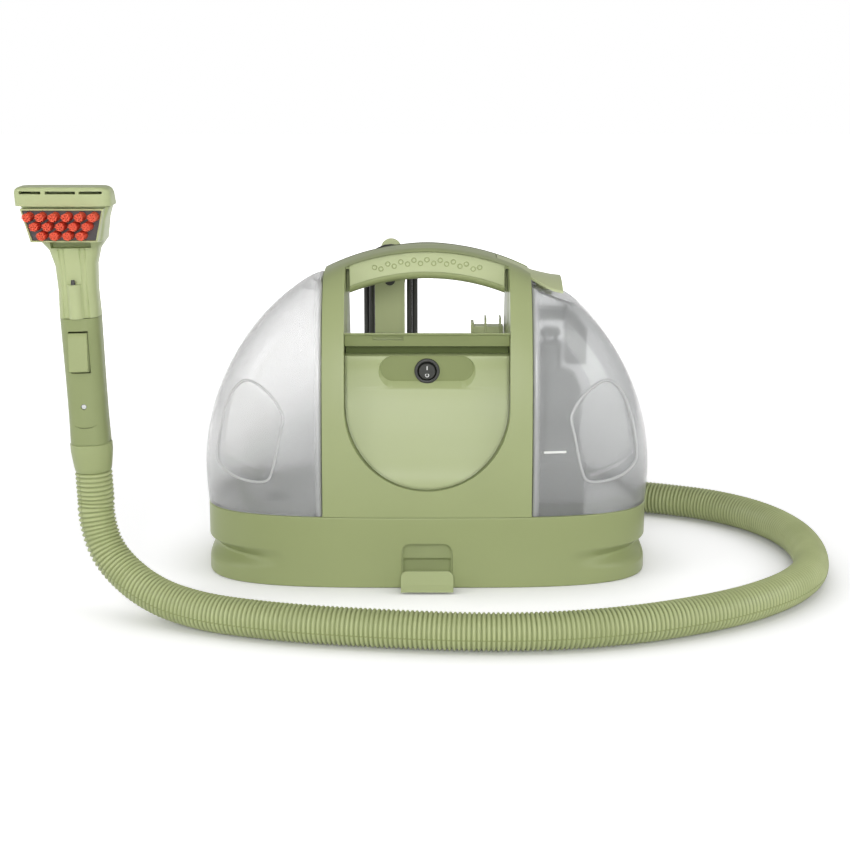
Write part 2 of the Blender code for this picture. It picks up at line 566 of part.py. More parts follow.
def tank(name, side, finish):
    rings = [tank_ring(side, DECK_TOP + SEAT_GAP, 0.0, TANK_SKIRT), tank_ring(side, BASE_HEIGHT + SEAT_GAP, 0.0, TANK_SKIRT), tank_ring(side, BASE_HEIGHT + SEAT_GAP * 2.0, 0.0)]
    rings += [tank_ring(side, z * MM, 0.0) for z in TANK_LEVELS] + [tank_ring(side, TANK_TOP, 2.0 * MM)]
    hollow = [tank_ring(side, DECK_TOP + SEAT_GAP + TANK_WALL, TANK_WALL, TANK_SKIRT), tank_ring(side, BASE_HEIGHT + TANK_WALL, TANK_WALL, TANK_SKIRT), tank_ring(side, BASE_HEIGHT + TANK_WALL + 1.0 * MM, TANK_WALL)]
    hollow += [tank_ring(side, z * MM, TANK_WALL) for z in TANK_LEVELS[:-1]] + [tank_ring(side, TANK_TOP - TANK_WALL, TANK_WALL + 1.0 * MM)]
    inside = cut(loft(name + "_inside", hollow), tank_grip(name + "_grip_inside", side, TANK_WALL))
    shell = loft(name, rings, finish)
    return shell, inside, tank_grip(name + "_grip", side, 0.0)


clean_tank, inside, finger_grip = tank("clean_tank", -1, CLEAR)
fuse(clean_tank, rod("tank_neck", (CAP_X, 0.0, NECK_LOW), (CAP_X, 0.0, DECK_TOP + 2.0 * MM), NECK_RADIUS))
cut(clean_tank, finger_grip, inside, rod("neck_bore", (CAP_X, 0.0, NECK_LOW - PAST), (CAP_X, 0.0, DECK_TOP + PAST), NECK_BORE))
clean_tank_cap = turned("clean_tank_cap", [(NECK_RADIUS + PIN_GAP, DECK_TOP - 0.6 * MM), (20.5 * MM, DECK_TOP - 0.6 * MM), (20.5 * MM, 52.0 * MM), (4.6 * MM, 52.0 * MM), (4.6 * MM, NECK_LOW - SEAT_GAP), (NECK_RADIUS + PIN_GAP, NECK_LOW - SEAT_GAP)], Matrix.Translation((CAP_X, 0.0, 0.0)), GREY)
tank_valve = turned("tank_valve", [(0.0, 60.0 * MM), (10.0 * MM, 60.0 * MM), (10.0 * MM, 55.2 * MM), (4.0 * MM, 55.2 * MM), (4.0 * MM, 50.0 * MM), (0.0, 50.0 * MM)], Matrix.Translation((CAP_X, 0.0, 0.0)), GREY, 16)
valve_seat = turned("valve_seat", [(21.3 * MM, DECK_TOP - 0.6 * MM), (24.0 * MM, DECK_TOP - 0.6 * MM), (24.0 * MM, 46.0 * MM), (5.0 * MM, 46.0 * MM), (5.0 * MM, 36.0 * MM), (2.5 * MM, 36.0 * MM), (2.5 * MM, 49.2 * MM), (21.3 * MM, 49.2 * MM)], Matrix.Translation((CAP_X, 0.0, 0.0)), GREY)
cut(base_tub, rod("seat_hole", (CAP_X, 0.0, DECK_UNDER - PAST), (CAP_X, 0.0, DECK_TOP + 1.0 * MM), 24.0 * MM + SEAT_GAP, sides=24))

NOTCH_HALF = 14.0 * MM
NOTCH_FLOOR = 275.5 * MM
NOTCH_END = 119.0 * MM
RELIEF_SLOPE = 0.414


def latch_relief(name, lower):
    ends = [(x, arch_height(98.0 * MM) - 11.88 * MM - (x - 98.0 * MM) * RELIEF_SLOPE - lower) for x in (90.0 * MM, 160.0 * MM)]
    return front_slab(name, ends + [(160.0 * MM, BODY_TOP + PAST), (90.0 * MM, BODY_TOP + PAST)], -BODY_HALF_DEPTH - PAST, BODY_HALF_DEPTH + PAST)


dirty_tank, inside, finger_grip = tank("dirty_tank", 1, SMOKE)
cut(inside, latch_relief("relief_inside", TANK_WALL * 1.1))
cut(dirty_tank, latch_relief("relief", 0.0))
cut(inside, box("notch_inside", (0.0, -NOTCH_HALF - TANK_WALL, NOTCH_FLOOR - TANK_WALL), (NOTCH_END + TANK_WALL, NOTCH_HALF + TANK_WALL, BODY_TOP)))
cut(dirty_tank, box("latch_notch", (0.0, -NOTCH_HALF, NOTCH_FLOOR), (NOTCH_END, NOTCH_HALF, BODY_TOP)), finger_grip, inside)
cut(dirty_tank, rod("intake_hole", (STACK_X, 0.0, DECK_TOP - PAST), (STACK_X, 0.0, DECK_TOP + PAST), 12.5 * MM), box("tank_port", (TANK_START - PAST, -7.0 * MM, 248.0 * MM), (TANK_START + 4.0 * MM, 7.0 * MM, 260.0 * MM)))

STACK_FLOOR = DECK_TOP + SEAT_GAP * 2.0 + TANK_WALL
separator_stack = box("separator_stack", (TANK_START + 9.0 * MM, -30.0 * MM, STACK_FLOOR), (TANK_START + 55.4 * TANK_REACH, 30.0 * MM, 107.0 * MM), GREY)
fuse(separator_stack, rod("stack_tube", (STACK_X, 0.0, STACK_FLOOR + 1.0 * MM), (STACK_X, 0.0, STACK_TOP), STACK_RADIUS))
cut(separator_stack, rod("stack_bore", (STACK_X, 0.0, STACK_FLOOR - PAST), (STACK_X, 0.0, STACK_TOP + PAST), STACK_BORE))
separator_cap = turned("separator_cap", [(0.0, STACK_TOP + 17.0 * MM), (7.5 * MM, STACK_TOP + 16.0 * MM), (10.3 * MM, STACK_TOP + 12.5 * MM), (10.3 * MM, STACK_TOP + 8.0 * MM), (7.4 * MM, STACK_TOP + 8.0 * MM), (7.4 * MM, STACK_TOP - 8.0 * MM), (5.8 * MM, STACK_TOP - 8.0 * MM), (5.8 * MM, STACK_TOP + 7.0 * MM), (0.0, STACK_TOP + 7.0 * MM)], Matrix.Translation((STACK_X, 0.0, 0.0)), GREY, 12)
cap_rim = rod("cap_rim", (STACK_X, 0.0, STACK_TOP + SEAT_GAP), (STACK_X, 0.0, STACK_TOP + 2.0 * MM), STACK_RADIUS)
cut(separator_cap, box("cap_windows", (STACK_X - 4.0 * MM, -20.0 * MM, STACK_TOP + 2.5 * MM), (STACK_X + 4.0 * MM, 20.0 * MM, STACK_TOP + 7.5 * MM)))
cut(cap_rim, rod("cap_rim_bore", (STACK_X, 0.0, STACK_TOP - PAST), (STACK_X, 0.0, STACK_TOP + PAST), 6.6 * MM))
fuse(separator_cap, cap_rim)

DUCT_LOW = 203.0 * MM
duct_line = [(TANK_START + x * TANK_REACH, z * MM) for x, z in ((35.9, 203.0), (55.9, 203.0), (55.9, 238.0), (47.4, 250.0), (36.4, 261.0), (35.9, 261.5))]
outlet_duct = front_slab("outlet_duct", duct_line, -17.0 * MM, 17.0 * MM, GREY)
fuse(outlet_duct, box("duct_spout", (TANK_START + TANK_WALL + SEAT_GAP, -9.5 * MM, 245.5 * MM), (TANK_START + 39.4 * TANK_REACH, 9.5 * MM, 257.0 * MM)))
cut(outlet_duct, box("duct_hollow", (TANK_START + 37.9 * TANK_REACH, -15.0 * MM, DUCT_LOW + 2.5 * MM), (TANK_START + 53.9 * TANK_REACH, 15.0 * MM, 238.0 * MM)), box("duct_passage", (TANK_START - PAST, -7.0 * MM, 248.0 * MM), (TANK_START + 45.4 * TANK_REACH, 7.0 * MM, 254.5 * MM)), box("duct_rise", (TANK_START + 38.4 * TANK_REACH, -7.0 * MM, 230.0 * MM), (TANK_START + 45.4 * TANK_REACH, 7.0 * MM, 251.0 * MM)), box("duct_mouth", (TANK_START + 41.9 * TANK_REACH, -10.0 * MM, DUCT_LOW - PAST), (TANK_START + 49.9 * TANK_REACH, 10.0 * MM, DUCT_LOW + PAST)))
tank_float = rod("tank_float", (TANK_START + 45.9 * TANK_REACH, 0.0, DUCT_LOW + 2.8 * MM), (TANK_START + 45.9 * TANK_REACH, 0.0, 222.0 * MM), 7.2 * TANK_REACH, GREY, 16)

# Tank latch: a hooded lever on the dirty tank whose tongue lies in the arch
LATCH_THICKNESS = 2.4 * MM
LATCH_PIVOT = Vector((111.0, 0.0, 284.6)) * MM
LATCH_PIN = 1.2 * MM
LATCH_LINE = ((68.0, 13.0, 0.6), (80.0, 14.0, 1.0), (92.0, 18.0, 2.2), (102.0, 25.0, 4.6), (112.0, 32.0, 7.0), (122.0, 38.0, 8.6), (131.0, 40.0, 9.2))
LATCH_HEIGHTS = (0.0, 0.0, 0.0, 0.0, 291.8, 289.6, 288.6)


def latch_rings(side_gap, lower, raise_top):
    rings = []
    for (x, half, drop), given in zip(LATCH_LINE, LATCH_HEIGHTS):
        x, half, drop = x * MM, half * MM + side_gap, drop * MM
        top = given * MM if given else arch_height(x)
        if x == LATCH_LINE[0][0] * MM:
            x -= side_gap
        shares = (-1.0, -0.66, -0.33, 0.0, 0.33, 0.66, 1.0)
        upper = [(x, half * s, top - drop * s * s + raise_top) for s in shares]
        under = [(x, half * s, top - drop * s * s - LATCH_THICKNESS - lower) for s in reversed(shares)]
        rings.append(upper + under)
    return rings


tank_latch = loft("tank_latch", latch_rings(0.0, 0.0, 0.0), GREEN)
latch_seat = loft("latch_seat", latch_rings(0.7 * MM, 0.6 * MM, 30.0 * MM))
cut(front_housing, latch_seat)
cut(rear_housing, latch_seat)
fuse(tank_latch, rod("latch_knuckle", LATCH_PIVOT + Vector((0.0, -7.0 * MM, 0.0)), LATCH_PIVOT + Vector((0.0, 7.0 * MM, 0.0)), 5.6 * MM, sides=16))
cut(tank_latch, rod("latch_bore", LATCH_PIVOT + Vector((0.0, -20.0 * MM, 0.0)), LATCH_PIVOT + Vector((0.0, 20.0 * MM, 0.0)), LATCH_PIN + PIN_GAP, sides=12))
latch_mount = box("latch_mount", (TANK_START + 2.0 * MM, -11.5 * MM, NOTCH_FLOOR + SEAT_GAP), (NOTCH_END - 2.0 * MM, 11.5 * MM, NOTCH_FLOOR + 2.4 * MM), GREEN)
for side in (-1, 1):
    ear = sorted((side * 7.6 * MM, side * 11.0 * MM))
    fuse(latch_mount, box("mount_ear", (LATCH_PIVOT.x - 2.8 * MM, ear[0], NOTCH_FLOOR + 2.0 * MM), (LATCH_PIVOT.x + 2.8 * MM, ear[1], LATCH_PIVOT.z + 2.2 * MM)))
cut(latch_mount, rod("mount_bore", LATCH_PIVOT + Vector((0.0, -20.0 * MM, 0.0)), LATCH_PIVOT + Vector((0.0, 20.0 * MM, 0.0)), LATCH_PIN + PIN_GAP, sides=12))
latch_pin = rod("latch_pin", LATCH_PIVOT + Vector((0.0, -10.6 * MM, 0.0)), LATCH_PIVOT + Vector((0.0, 10.6 * MM, 0.0)), LATCH_PIN, STEEL, 12)

# Cord post and hooks
def deck_height(y):
    return LEDGE_HEIGHT - slope * (y + LEDGE_FRONT)


DRUM_END = CORD_FIRST + CORD_PITCH * (CORD_INNER_LOOPS + 1.0) + CORD_RADIUS + 2.0 * MM
post_low = deck_height(POST_FRONT) + SEAT_GAP
post_line = [(CORD_X - POST_HALF, post_low), (CORD_X + POST_HALF, post_low)]
post_line += [(CORD_X + POST_HALF * math.cos(math.pi * i / 10), CORD_HIGH + POST_HALF * math.sin(math.pi * i / 10)) for i in range(11)]
cord_post = front_slab("cord_post", post_line, POST_FRONT, POST_BACK, GREEN)
cut(cord_post, rod("post_bore", (CORD_X, POST_FRONT - PAST, CORD_HIGH), (CORD_X, POST_BACK + PAST, CORD_HIGH), 3.0 * MM + PIN_GAP, sides=14))


def paddle(name, height, up):
    half = 11.0 * MM
    reach = PADDLE_REACH - half
    line = [(CORD_X + half * math.cos(math.pi * i / 8), height + up * (reach + half * math.sin(math.pi * i / 8))) for i in range(9)]
    line += [(CORD_X - half, height - up * 8.0 * MM), (CORD_X + half, height - up * 8.0 * MM)]
    return front_slab(name, line, DRUM_END - 1.0 * MM, DRUM_END + 4.0 * MM)


cord_hook_upper = rod("cord_hook_upper", (CORD_X, POST_BACK + SEAT_GAP, CORD_HIGH), (CORD_X, DRUM_END, CORD_HIGH), DRUM_RADIUS, GREEN, 24)
fuse(cord_hook_upper, paddle("upper_paddle", CORD_HIGH, 1.0))
cut(cord_hook_upper, rod("hook_bore", (CORD_X, POST_BACK - PAST, CORD_HIGH), (CORD_X, POST_BACK + 14.0 * MM, CORD_HIGH), 3.0 * MM + PIN_GAP, sides=14))
hook_screw = rod("hook_screw", (CORD_X, POST_FRONT - 2.4 * MM, CORD_HIGH), (CORD_X, POST_FRONT - SEAT_GAP, CORD_HIGH), 5.5 * MM, STEEL, 14)
fuse(hook_screw, rod("hook_shank", (CORD_X, POST_FRONT - 1.5 * MM, CORD_HIGH), (CORD_X, POST_BACK + 12.0 * MM, CORD_HIGH), 3.0 * MM, sides=14))
lower_start = BODY_HALF_DEPTH + SEAT_GAP
cord_hook_lower = rod("cord_hook_lower", (CORD_X, lower_start, CORD_LOW), (CORD_X, DRUM_END, CORD_LOW), DRUM_RADIUS, GREEN, 24)
fuse(cord_hook_lower, paddle("lower_paddle", CORD_LOW, -1.0))

cradle_low = deck_height(62.0 * MM) + SEAT_GAP
tool_cradle = box("tool_cradle", (45.0 * MM, 62.0 * MM, cradle_low), (78.0 * MM, 78.0 * MM, cradle_low + 7.0 * MM), GREEN)
for x, wide, high in ((45.0, 3.0, 231.0), (59.0, 1.8, 236.0), (74.0, 1.8, 236.0)):
    fuse(tool_cradle, box("cradle_fin", (x * MM, 61.0 * MM, cradle_low + 1.0 * MM), ((x + wide) * MM, 80.0 * MM, high * MM)))

# Power cord wound on the hooks, its gland and plug
GLAND_Z = 32.0 * MM
inner = DRUM_RADIUS + 1.0 * MM + CORD_RADIUS
outer = inner + CORD_LAYER
lead_x = CORD_X - inner
GLAND_END = BODY_HALF_DEPTH + 11.0 * MM
cord_points = [Vector((lead_x, GLAND_END + y * MM, z * MM)) for y, z in ((0.0, 32.0), (6.5, 32.8), (12.5, 36.5), (15.8, 43.0), (15.6, 51.0), (12.0, 60.5), (5.5, 71.0), (-1.0, 81.5), (-4.6, 92.0), (-5.4, 102.0))]
ARC = 8
turns = CORD_INNER_LOOPS + 0.5 + CORD_OUTER_LOOPS
half_turns = int(2 * turns)
for n in range(half_turns):
    high = n % 2 == 0
    centre = CORD_HIGH if high else CORD_LOW
    for i in range(ARC):
        share = i / (ARC - 1.0)
        at = (n + share) / 2.0
        if at <= CORD_INNER_LOOPS:
            radius, y = inner, CORD_FIRST + CORD_PITCH * at
        elif at <= CORD_INNER_LOOPS + 0.5:
            radius = inner + (outer - inner) * (at - CORD_INNER_LOOPS) * 2.0
            y = CORD_FIRST + CORD_PITCH * (2.0 * at - CORD_INNER_LOOPS)
        elif at <= CORD_INNER_LOOPS + 1.0:
            radius, y = outer, CORD_FIRST + CORD_PITCH * (CORD_INNER_LOOPS + 1.0 - 2.6 * (at - CORD_INNER_LOOPS - 0.5))
        else:
            radius, y = outer, CORD_FIRST + CORD_PITCH * (2.0 * CORD_INNER_LOOPS + 0.7 - at)
        angle = math.pi * (1.0 - share) if high else -math.pi * share
        cord_points.append(Vector((CORD_X + radius * math.cos(angle), y, centre + radius * math.sin(angle))))
cord_end = cord_points[-1]
PLUG_TOP = 74.0 * MM
cord_points.append(Vector((cord_end.x, cord_end.y, CORD_LOW - 16.0 * MM)))
cord_points.append(Vector((cord_end.x, cord_end.y, PLUG_TOP + 0.2 * MM)))
power_cord = tube("power_cord", cord_points, CORD_RADIUS, RUBBER, 1)
cord_length = sum((b - a).length for a, b in zip(cord_points, cord_points[1:]))


def least_self_gap(points, radius, apart):
    fine = []
    travelled = 0.0
    for a, b in zip(points, points[1:]):
        pieces = max(1, int((b - a).length / (3.0 * MM)))
        for i in range(pieces):
            fine.append((a.lerp(b, i / pieces), travelled + (b - a).length * i / pieces))
        travelled += (b - a).length
    least = 1.0
    for i, (p, s) in enumerate(fine):
        for q, r in fine[i + 1:]:
            if r - s > apart:
                gap = (p - q).length
                least = min(least, gap)
    return least - 2.0 * radius


print("cord length %.3f m, least self gap %.2f mm" % (cord_length, least_self_gap(cord_points, CORD_RADIUS, 60.0 * MM) / MM))
cord_gland = rod("cord_gland", (lead_x, BODY_HALF_DEPTH - 8.0 * MM, GLAND_Z), (lead_x, GLAND_END + SEAT_GAP, GLAND_Z), 6.5 * MM, BLACK, 12, 4.6 * MM)
fuse(cord_gland, rod("gland_collar", (lead_x, BODY_HALF_DEPTH + 0.8 * MM, GLAND_Z), (lead_x, BODY_HALF_DEPTH + 3.4 * MM, GLAND_Z), 9.0 * MM, sides=12))
cut(cord_gland, rod("gland_bore", (lead_x, GLAND_END - 8.0 * MM, GLAND_Z), (lead_x, GLAND_END + 8.0 * MM, GLAND_Z), CORD_RADIUS + PIN_GAP, sides=8))
cut(base_tub, rod("gland_hole", (lead_x, GLAND_END - 32.0 * MM, GLAND_Z), (lead_x, GLAND_END + 8.0 * MM, GLAND_Z), 6.6 * MM + SEAT_GAP, sides=16))
mains_plug = box("mains_plug", (cord_end.x - 8.0 * MM, cord_end.y - 10.0 * MM, PLUG_TOP - 30.0 * MM), (cord_end.x + 8.0 * MM, cord_end.y + 10.0 * MM, PLUG_TOP - 8.0 * MM), BLACK)
fuse(mains_plug, rod("plug_relief", (cord_end.x, cord_end.y, PLUG_TOP - 9.0 * MM), (cord_end.x, cord_end.y, PLUG_TOP), 5.5 * MM, sides=14, end_radius=4.2 * MM))
for side in (-1, 1):
    fuse(mains_plug, box("plug_blade", (cord_end.x - 0.75 * MM, cord_end.y + side * 6.35 * MM - 3.1 * MM, PLUG_TOP - 47.0 * MM), (cord_end.x + 0.75 * MM, cord_end.y + side * 6.35 * MM + 3.1 * MM, PLUG_TOP - 29.0 * MM)))

# Hose outlet, cuffs and hose
heading = Vector((math.cos(OUTLET_HEADING), math.sin(OUTLET_HEADING), 0.0))
turn = heading.to_track_quat("Z", "Y").to_matrix().to_4x4()
outlet_place = Matrix.Translation(OUTLET_ROOT) @ turn
hose_outlet = turned("hose_outlet", [(11.0 * MM, OUTLET_LENGTH), (19.4 * MM, OUTLET_LENGTH), (19.4 * MM, -24.0 * MM), (11.0 * MM, -24.0 * MM)], outlet_place, GREEN, 20)
outlet_hole = rod("outlet_hole", OUTLET_ROOT - heading * 50.0 * MM, OUTLET_ROOT + heading * 60.0 * MM, 19.4 * MM + SEAT_GAP, sides=24)
cut(base_tub, outlet_hole)
cuff_start = OUTLET_LENGTH + SEAT_GAP
hose_rear_cuff = turned("hose_rear_cuff", [(12.4 * MM, cuff_start + CUFF_LENGTH), (18.2 * MM, cuff_start + CUFF_LENGTH), (20.6 * MM, cuff_start + CUFF_LENGTH - 6.0 * MM), (20.6 * MM, cuff_start), (12.4 * MM, cuff_start)], outlet_place, GREEN, 20)
hose_start = OUTLET_ROOT + heading * (cuff_start + CUFF_LENGTH + SEAT_GAP)
lean = Matrix.Rotation(-TOOL_LEAN, 4, "Y")
TOOL_PLACE = Matrix.Translation(TOOL_BASE) @ Matrix.Rotation(TOOL_YAW, 4, "Z") @ lean
tool_up = (TOOL_PLACE.to_3x3() @ Vector((0.0, 0.0, 1.0))).normalized()
hose_end = TOOL_BASE - tool_up * SEAT_GAP
straight = 2.0 * HOSE_RADIUS
route = [hose_start, hose_start + heading * straight * 0.4, hose_start + heading * straight * 0.8] + [Vector(p) * MM for p in HOSE_ROUTE] + [hose_end - tool_up * straight * 0.8, hose_end - tool_up * straight * 0.4, hose_end]
hose_path, hose_length = smooth_path(route, 1.0 * MM)
hose_spine, hose_length = smooth_path(route, hose_length / (2 * HOSE_RIBS))
suction_hose = solid_tube("suction_hose", hose_spine, HOSE_RADIUS, HOSE_GREEN, 2, [1.0 if i % 2 else HOSE_ROOT_RADIUS / HOSE_RADIUS for i in range(len(hose_spine))])
bore_spine = hose_spine[::4]
if bore_spine[-1] != hose_spine[-1]:
    bore_spine.append(hose_spine[-1])
bore_spine = [bore_spine[0] - heading * PAST] + bore_spine[1:-1] + [hose_spine[-1] + tool_up * PAST]
cut(suction_hose, solid_tube("hose_bore", bore_spine, HOSE_BORE, None, 2))
print("hose length %.3f m" % hose_length)
hose_tool_cuff = turned("hose_tool_cuff", [(13.5 * MM, GRIP_LOW - SEAT_GAP), (19.2 * MM, GRIP_LOW - SEAT_GAP), (19.2 * MM, 20.0 * MM), (17.2 * MM, 4.0 * MM), (16.0 * MM, 0.0), (12.4 * MM, 0.0)], TOOL_PLACE, GREEN, 16)


# Hand grip
def in_tool(*objects):
    for obj in objects:
        obj.matrix_world = TOOL_PLACE
    return objects[0]


def section(half_width, front, back, power, z, steps=16):
    ring = []
    for i in range(steps):
        t = 2.0 * math.pi * (i + 0.5) / steps
        c, s = math.cos(t), math.sin(t)
        x = half_width * math.copysign(abs(c) ** (2.0 / power), c)
        y = (back if s > 0.0 else front) * math.copysign(abs(s) ** (2.0 / power), s)
        ring.append((x, y, z))
    return ring


def grip_half(name, side):
    rings = []
    for z, swell in ((GRIP_LOW, 0.4), (50.0 * MM, 0.0), (75.0 * MM, 0.0), (110.0 * MM, 0.3), (GRIP_TOP, 0.6)):
        half = GRIP_HALF_WIDTH + swell * MM
        depth = GRIP_HALF_DEPTH + swell * MM
        arc = []
        for i in range(11):
            t = math.pi * i / 10
            arc.append((half * math.copysign(abs(math.cos(t)) ** (2.0 / 2.7), math.cos(t)), side * max(depth * math.sin(t) ** (2.0 / 2.7), SEAT_GAP / 2.0), z))
        rings.append(arc)
    shell = in_tool(loft(name, rings, GREEN))
    bore = in_tool(loft(name + "_bore", [section(GRIP_HALF_WIDTH - GRIP_WALL, GRIP_HALF_DEPTH - GRIP_WALL, GRIP_HALF_DEPTH - GRIP_WALL, 2.4, z, 16) for z in (GRIP_LOW - PAST, GRIP_TOP + PAST)]))
    return cut(shell, bore)


grip_front = grip_half("grip_front", -1.0)
grip_rear = grip_half("grip_rear", 1.0)
cut(grip_front, in_tool(box("trigger_window", (-TRIGGER_HALF - SEAT_GAP, -40.0 * MM, TRIGGER_LOW - 2.2 * MM), (TRIGGER_HALF + SEAT_GAP, -5.0 * MM, TRIGGER_TOP + 1.0 * MM))))
SCREW_Z = 63.0 * MM
cut(grip_front, in_tool(rod("screw_hole", (0.0, -30.0 * MM, SCREW_Z), (0.0, -8.0 * MM, SCREW_Z), 2.6 * MM, sides=12)))
grip_screw = in_tool(rod("grip_screw", (0.0, -GRIP_HALF_DEPTH + 1.0 * MM, SCREW_Z), (0.0, -GRIP_HALF_DEPTH + 9.0 * MM, SCREW_Z), 2.2 * MM, STEEL, 12))
TRIGGER_PIVOT = Vector((0.0, -12.5 * MM, TRIGGER_TOP - 5.0 * MM))
trigger_line = scaled(((-19.2, 130.4), (-22.0, 126.0), (-25.0, 110.0), (-27.0, 99.0), (-25.5, 96.5), (-20.0, 96.5), (-15.0, 108.0), (-10.4, 121.0), (-9.2, 126.0), (-11.0, 129.6)))
spray_trigger = in_tool(side_slab("spray_trigger", trigger_line, -TRIGGER_HALF, TRIGGER_HALF, GREEN))
cut(spray_trigger, in_tool(rod("trigger_bore", TRIGGER_PIVOT - Vector((20.0 * MM, 0.0, 0.0)), TRIGGER_PIVOT + Vector((20.0 * MM, 0.0, 0.0)), 1.3 * MM + PIN_GAP, sides=12)))
pin_half = 11.6 * MM
trigger_pin = in_tool(rod("trigger_pin", TRIGGER_PIVOT - Vector((pin_half, 0.0, 0.0)), TRIGGER_PIVOT + Vector((pin_half, 0.0, 0.0)), 1.3 * MM, STEEL, 12))
cut(grip_front, in_tool(rod("pin_hole", TRIGGER_PIVOT - Vector((pin_half + 0.6 * MM, 0.0, 0.0)), TRIGGER_PIVOT + Vector((pin_half + 0.6 * MM, 0.0, 0.0)), 1.3 * MM + PIN_GAP, sides=12)))

# Brush tool
tool_rings = [section(GRIP_HALF_WIDTH + 0.8 * MM, GRIP_HALF_DEPTH + 0.6 * MM, GRIP_HALF_DEPTH + 0.6 * MM, 2.7, GRIP_TOP + SEAT_GAP), section(17.4 * MM, 17.5 * MM, 18.0 * MM, 2.7, 168.0 * MM), section(18.6 * MM, 17.0 * MM, 18.0 * MM, 2.8, 190.0 * MM), section(23.0 * MM, 19.0 * MM, 18.0 * MM, 3.0, 204.0 * MM), section(29.5 * MM, 33.0 * MM, 17.0 * MM, 3.6, 211.0 * MM), section(31.5 * MM, HEAD_FACE - 1.0 * MM, 15.0 * MM, 4.5, 216.0 * MM), section(37.2 * MM, HEAD_FACE, 8.0 * MM, 5.5, 245.0 * MM), section(HEAD_HALF_WIDTH, HEAD_FACE + 1.0 * MM, 6.5 * MM, 5.5, 248.0 * MM), section(HEAD_HALF_WIDTH, HEAD_FACE + 1.0 * MM, 2.0 * MM, 5.5, HEAD_TOP - 3.0 * MM), section(HEAD_HALF_WIDTH - 1.2 * MM, HEAD_FACE - 0.6 * MM, -2.0 * MM, 5.5, HEAD_TOP)]
tool_body = in_tool(loft("tool_body", tool_rings, GREEN))
fuse(tool_body, in_tool(rod("nozzle_ridge", (0.0, -18.5 * MM, GRIP_TOP + SEAT_GAP), (0.0, -18.5 * MM, 174.0 * MM), 4.2 * MM, sides=14)))
cut(tool_body, in_tool(loft("tool_bore", [section(13.5 * MM, 12.5 * MM, 14.0 * MM, 2.4, GRIP_TOP - PAST, 16), section(13.5 * MM, 12.5 * MM, 14.0 * MM, 2.4, 190.0 * MM, 16), section(22.0 * MM, 22.0 * MM, 10.0 * MM, 3.2, 222.0 * MM, 16), section(30.0 * MM, 30.0 * MM, -2.0 * MM, 4.0, 246.0 * MM, 16)])))
slots = bmesh.new()
for low, high in ((-35.0, -17.0), (-13.2, 12.4), (15.3, 34.4)):
    bmesh.ops.create_cube(slots, size=1.0, matrix=Matrix.Translation(((low + high) / 2.0 * MM, -34.0 * MM, HEAD_TOP - 5.2 * MM)) @ Matrix.Diagonal(((high - low) * MM, 26.0 * MM, 2.6 * MM, 1.0)))
cut(tool_body, in_tool(from_bmesh("suction_slots", slots, None)))
slot_throat = in_tool(box("slot_throat", (-29.0 * MM, -29.0 * MM, 240.0 * MM), (29.0 * MM, -22.0 * MM, HEAD_TOP - 5.2 * MM)))
cut(tool_body, slot_throat)


def plate_outline(grow):
    return [(-PLATE_HALF_LOW - grow, PLATE_LOW - grow), (PLATE_HALF_LOW + grow, PLATE_LOW - grow), (PLATE_HALF_HIGH + grow, PLATE_HIGH + grow), (-PLATE_HALF_HIGH - grow, PLATE_HIGH + grow)]


PLATE_BACK = HEAD_FACE - 5.0 * MM
BACKING = 1.4 * MM
cut(tool_body, in_tool(front_slab("plate_seat", plate_outline(SEAT_GAP), -HEAD_FACE - PAST, -PLATE_BACK)))
brush_plate = in_tool(front_slab("brush_plate", plate_outline(0.0), -HEAD_FACE + 0.8 * MM, -PLATE_BACK - SEAT_GAP * 2.0 - BACKING, BLACK))
holes = bmesh.new()
tufts = []
for z, count in TUFT_ROWS:
    for i in range(round(count)):
        tufts.append((TUFT_PITCH * (i - (count - 1) / 2.0), z * MM))
for x, z in tufts:
    bmesh.ops.create_cone(holes, cap_ends=True, segments=6, radius1=TUFT_RADIUS + 1.1 * MM, radius2=TUFT_RADIUS + 1.1 * MM, depth=30.0 * MM, matrix=Matrix.Translation((x, -HEAD_FACE, z)) @ Matrix.Rotation(math.pi / 2.0, 4, "X"))
cut(brush_plate, in_tool(from_bmesh("tuft_holes", holes, None)))
brush_bristles = in_tool(front_slab("brush_bristles", plate_outline(-0.2 * MM), -PLATE_BACK - SEAT_GAP - BACKING, -PLATE_BACK - SEAT_GAP, RED))
strands = bmesh.new()
for x, z in tufts:
    for i in range(TUFT_STRANDS):
        radius = TUFT_RADIUS * 0.94 * math.sqrt((i + 0.4) / TUFT_STRANDS)
        angle = i * 2.39996
        root = Vector((x + radius * math.cos(angle), -PLATE_BACK - SEAT_GAP - BACKING * 0.5, z + radius * math.sin(angle)))
        reach = TUFT_LENGTH + HEAD_FACE - PLATE_BACK - 0.5 * MM * (i % 3)
        bmesh.ops.create_cone(strands, cap_ends=True, segments=3, radius1=STRAND_RADIUS, radius2=STRAND_RADIUS, depth=reach, matrix=Matrix.Translation(root - Vector((0.0, reach / 2.0, 0.0))) @ Matrix.Rotation(math.pi / 2.0, 4, "X") @ Matrix.Rotation(angle, 4, "Z"))
fuse(brush_bristles, in_tool(from_bmesh("bristle_strands", strands, None)))
spray_nozzle = in_tool(rod("spray_nozzle", (0.0, -20.3 * MM, 174.0 * MM + SEAT_GAP), (0.0, -20.3 * MM, 178.5 * MM), 2.2 * MM, BLACK, 12, 1.6 * MM))

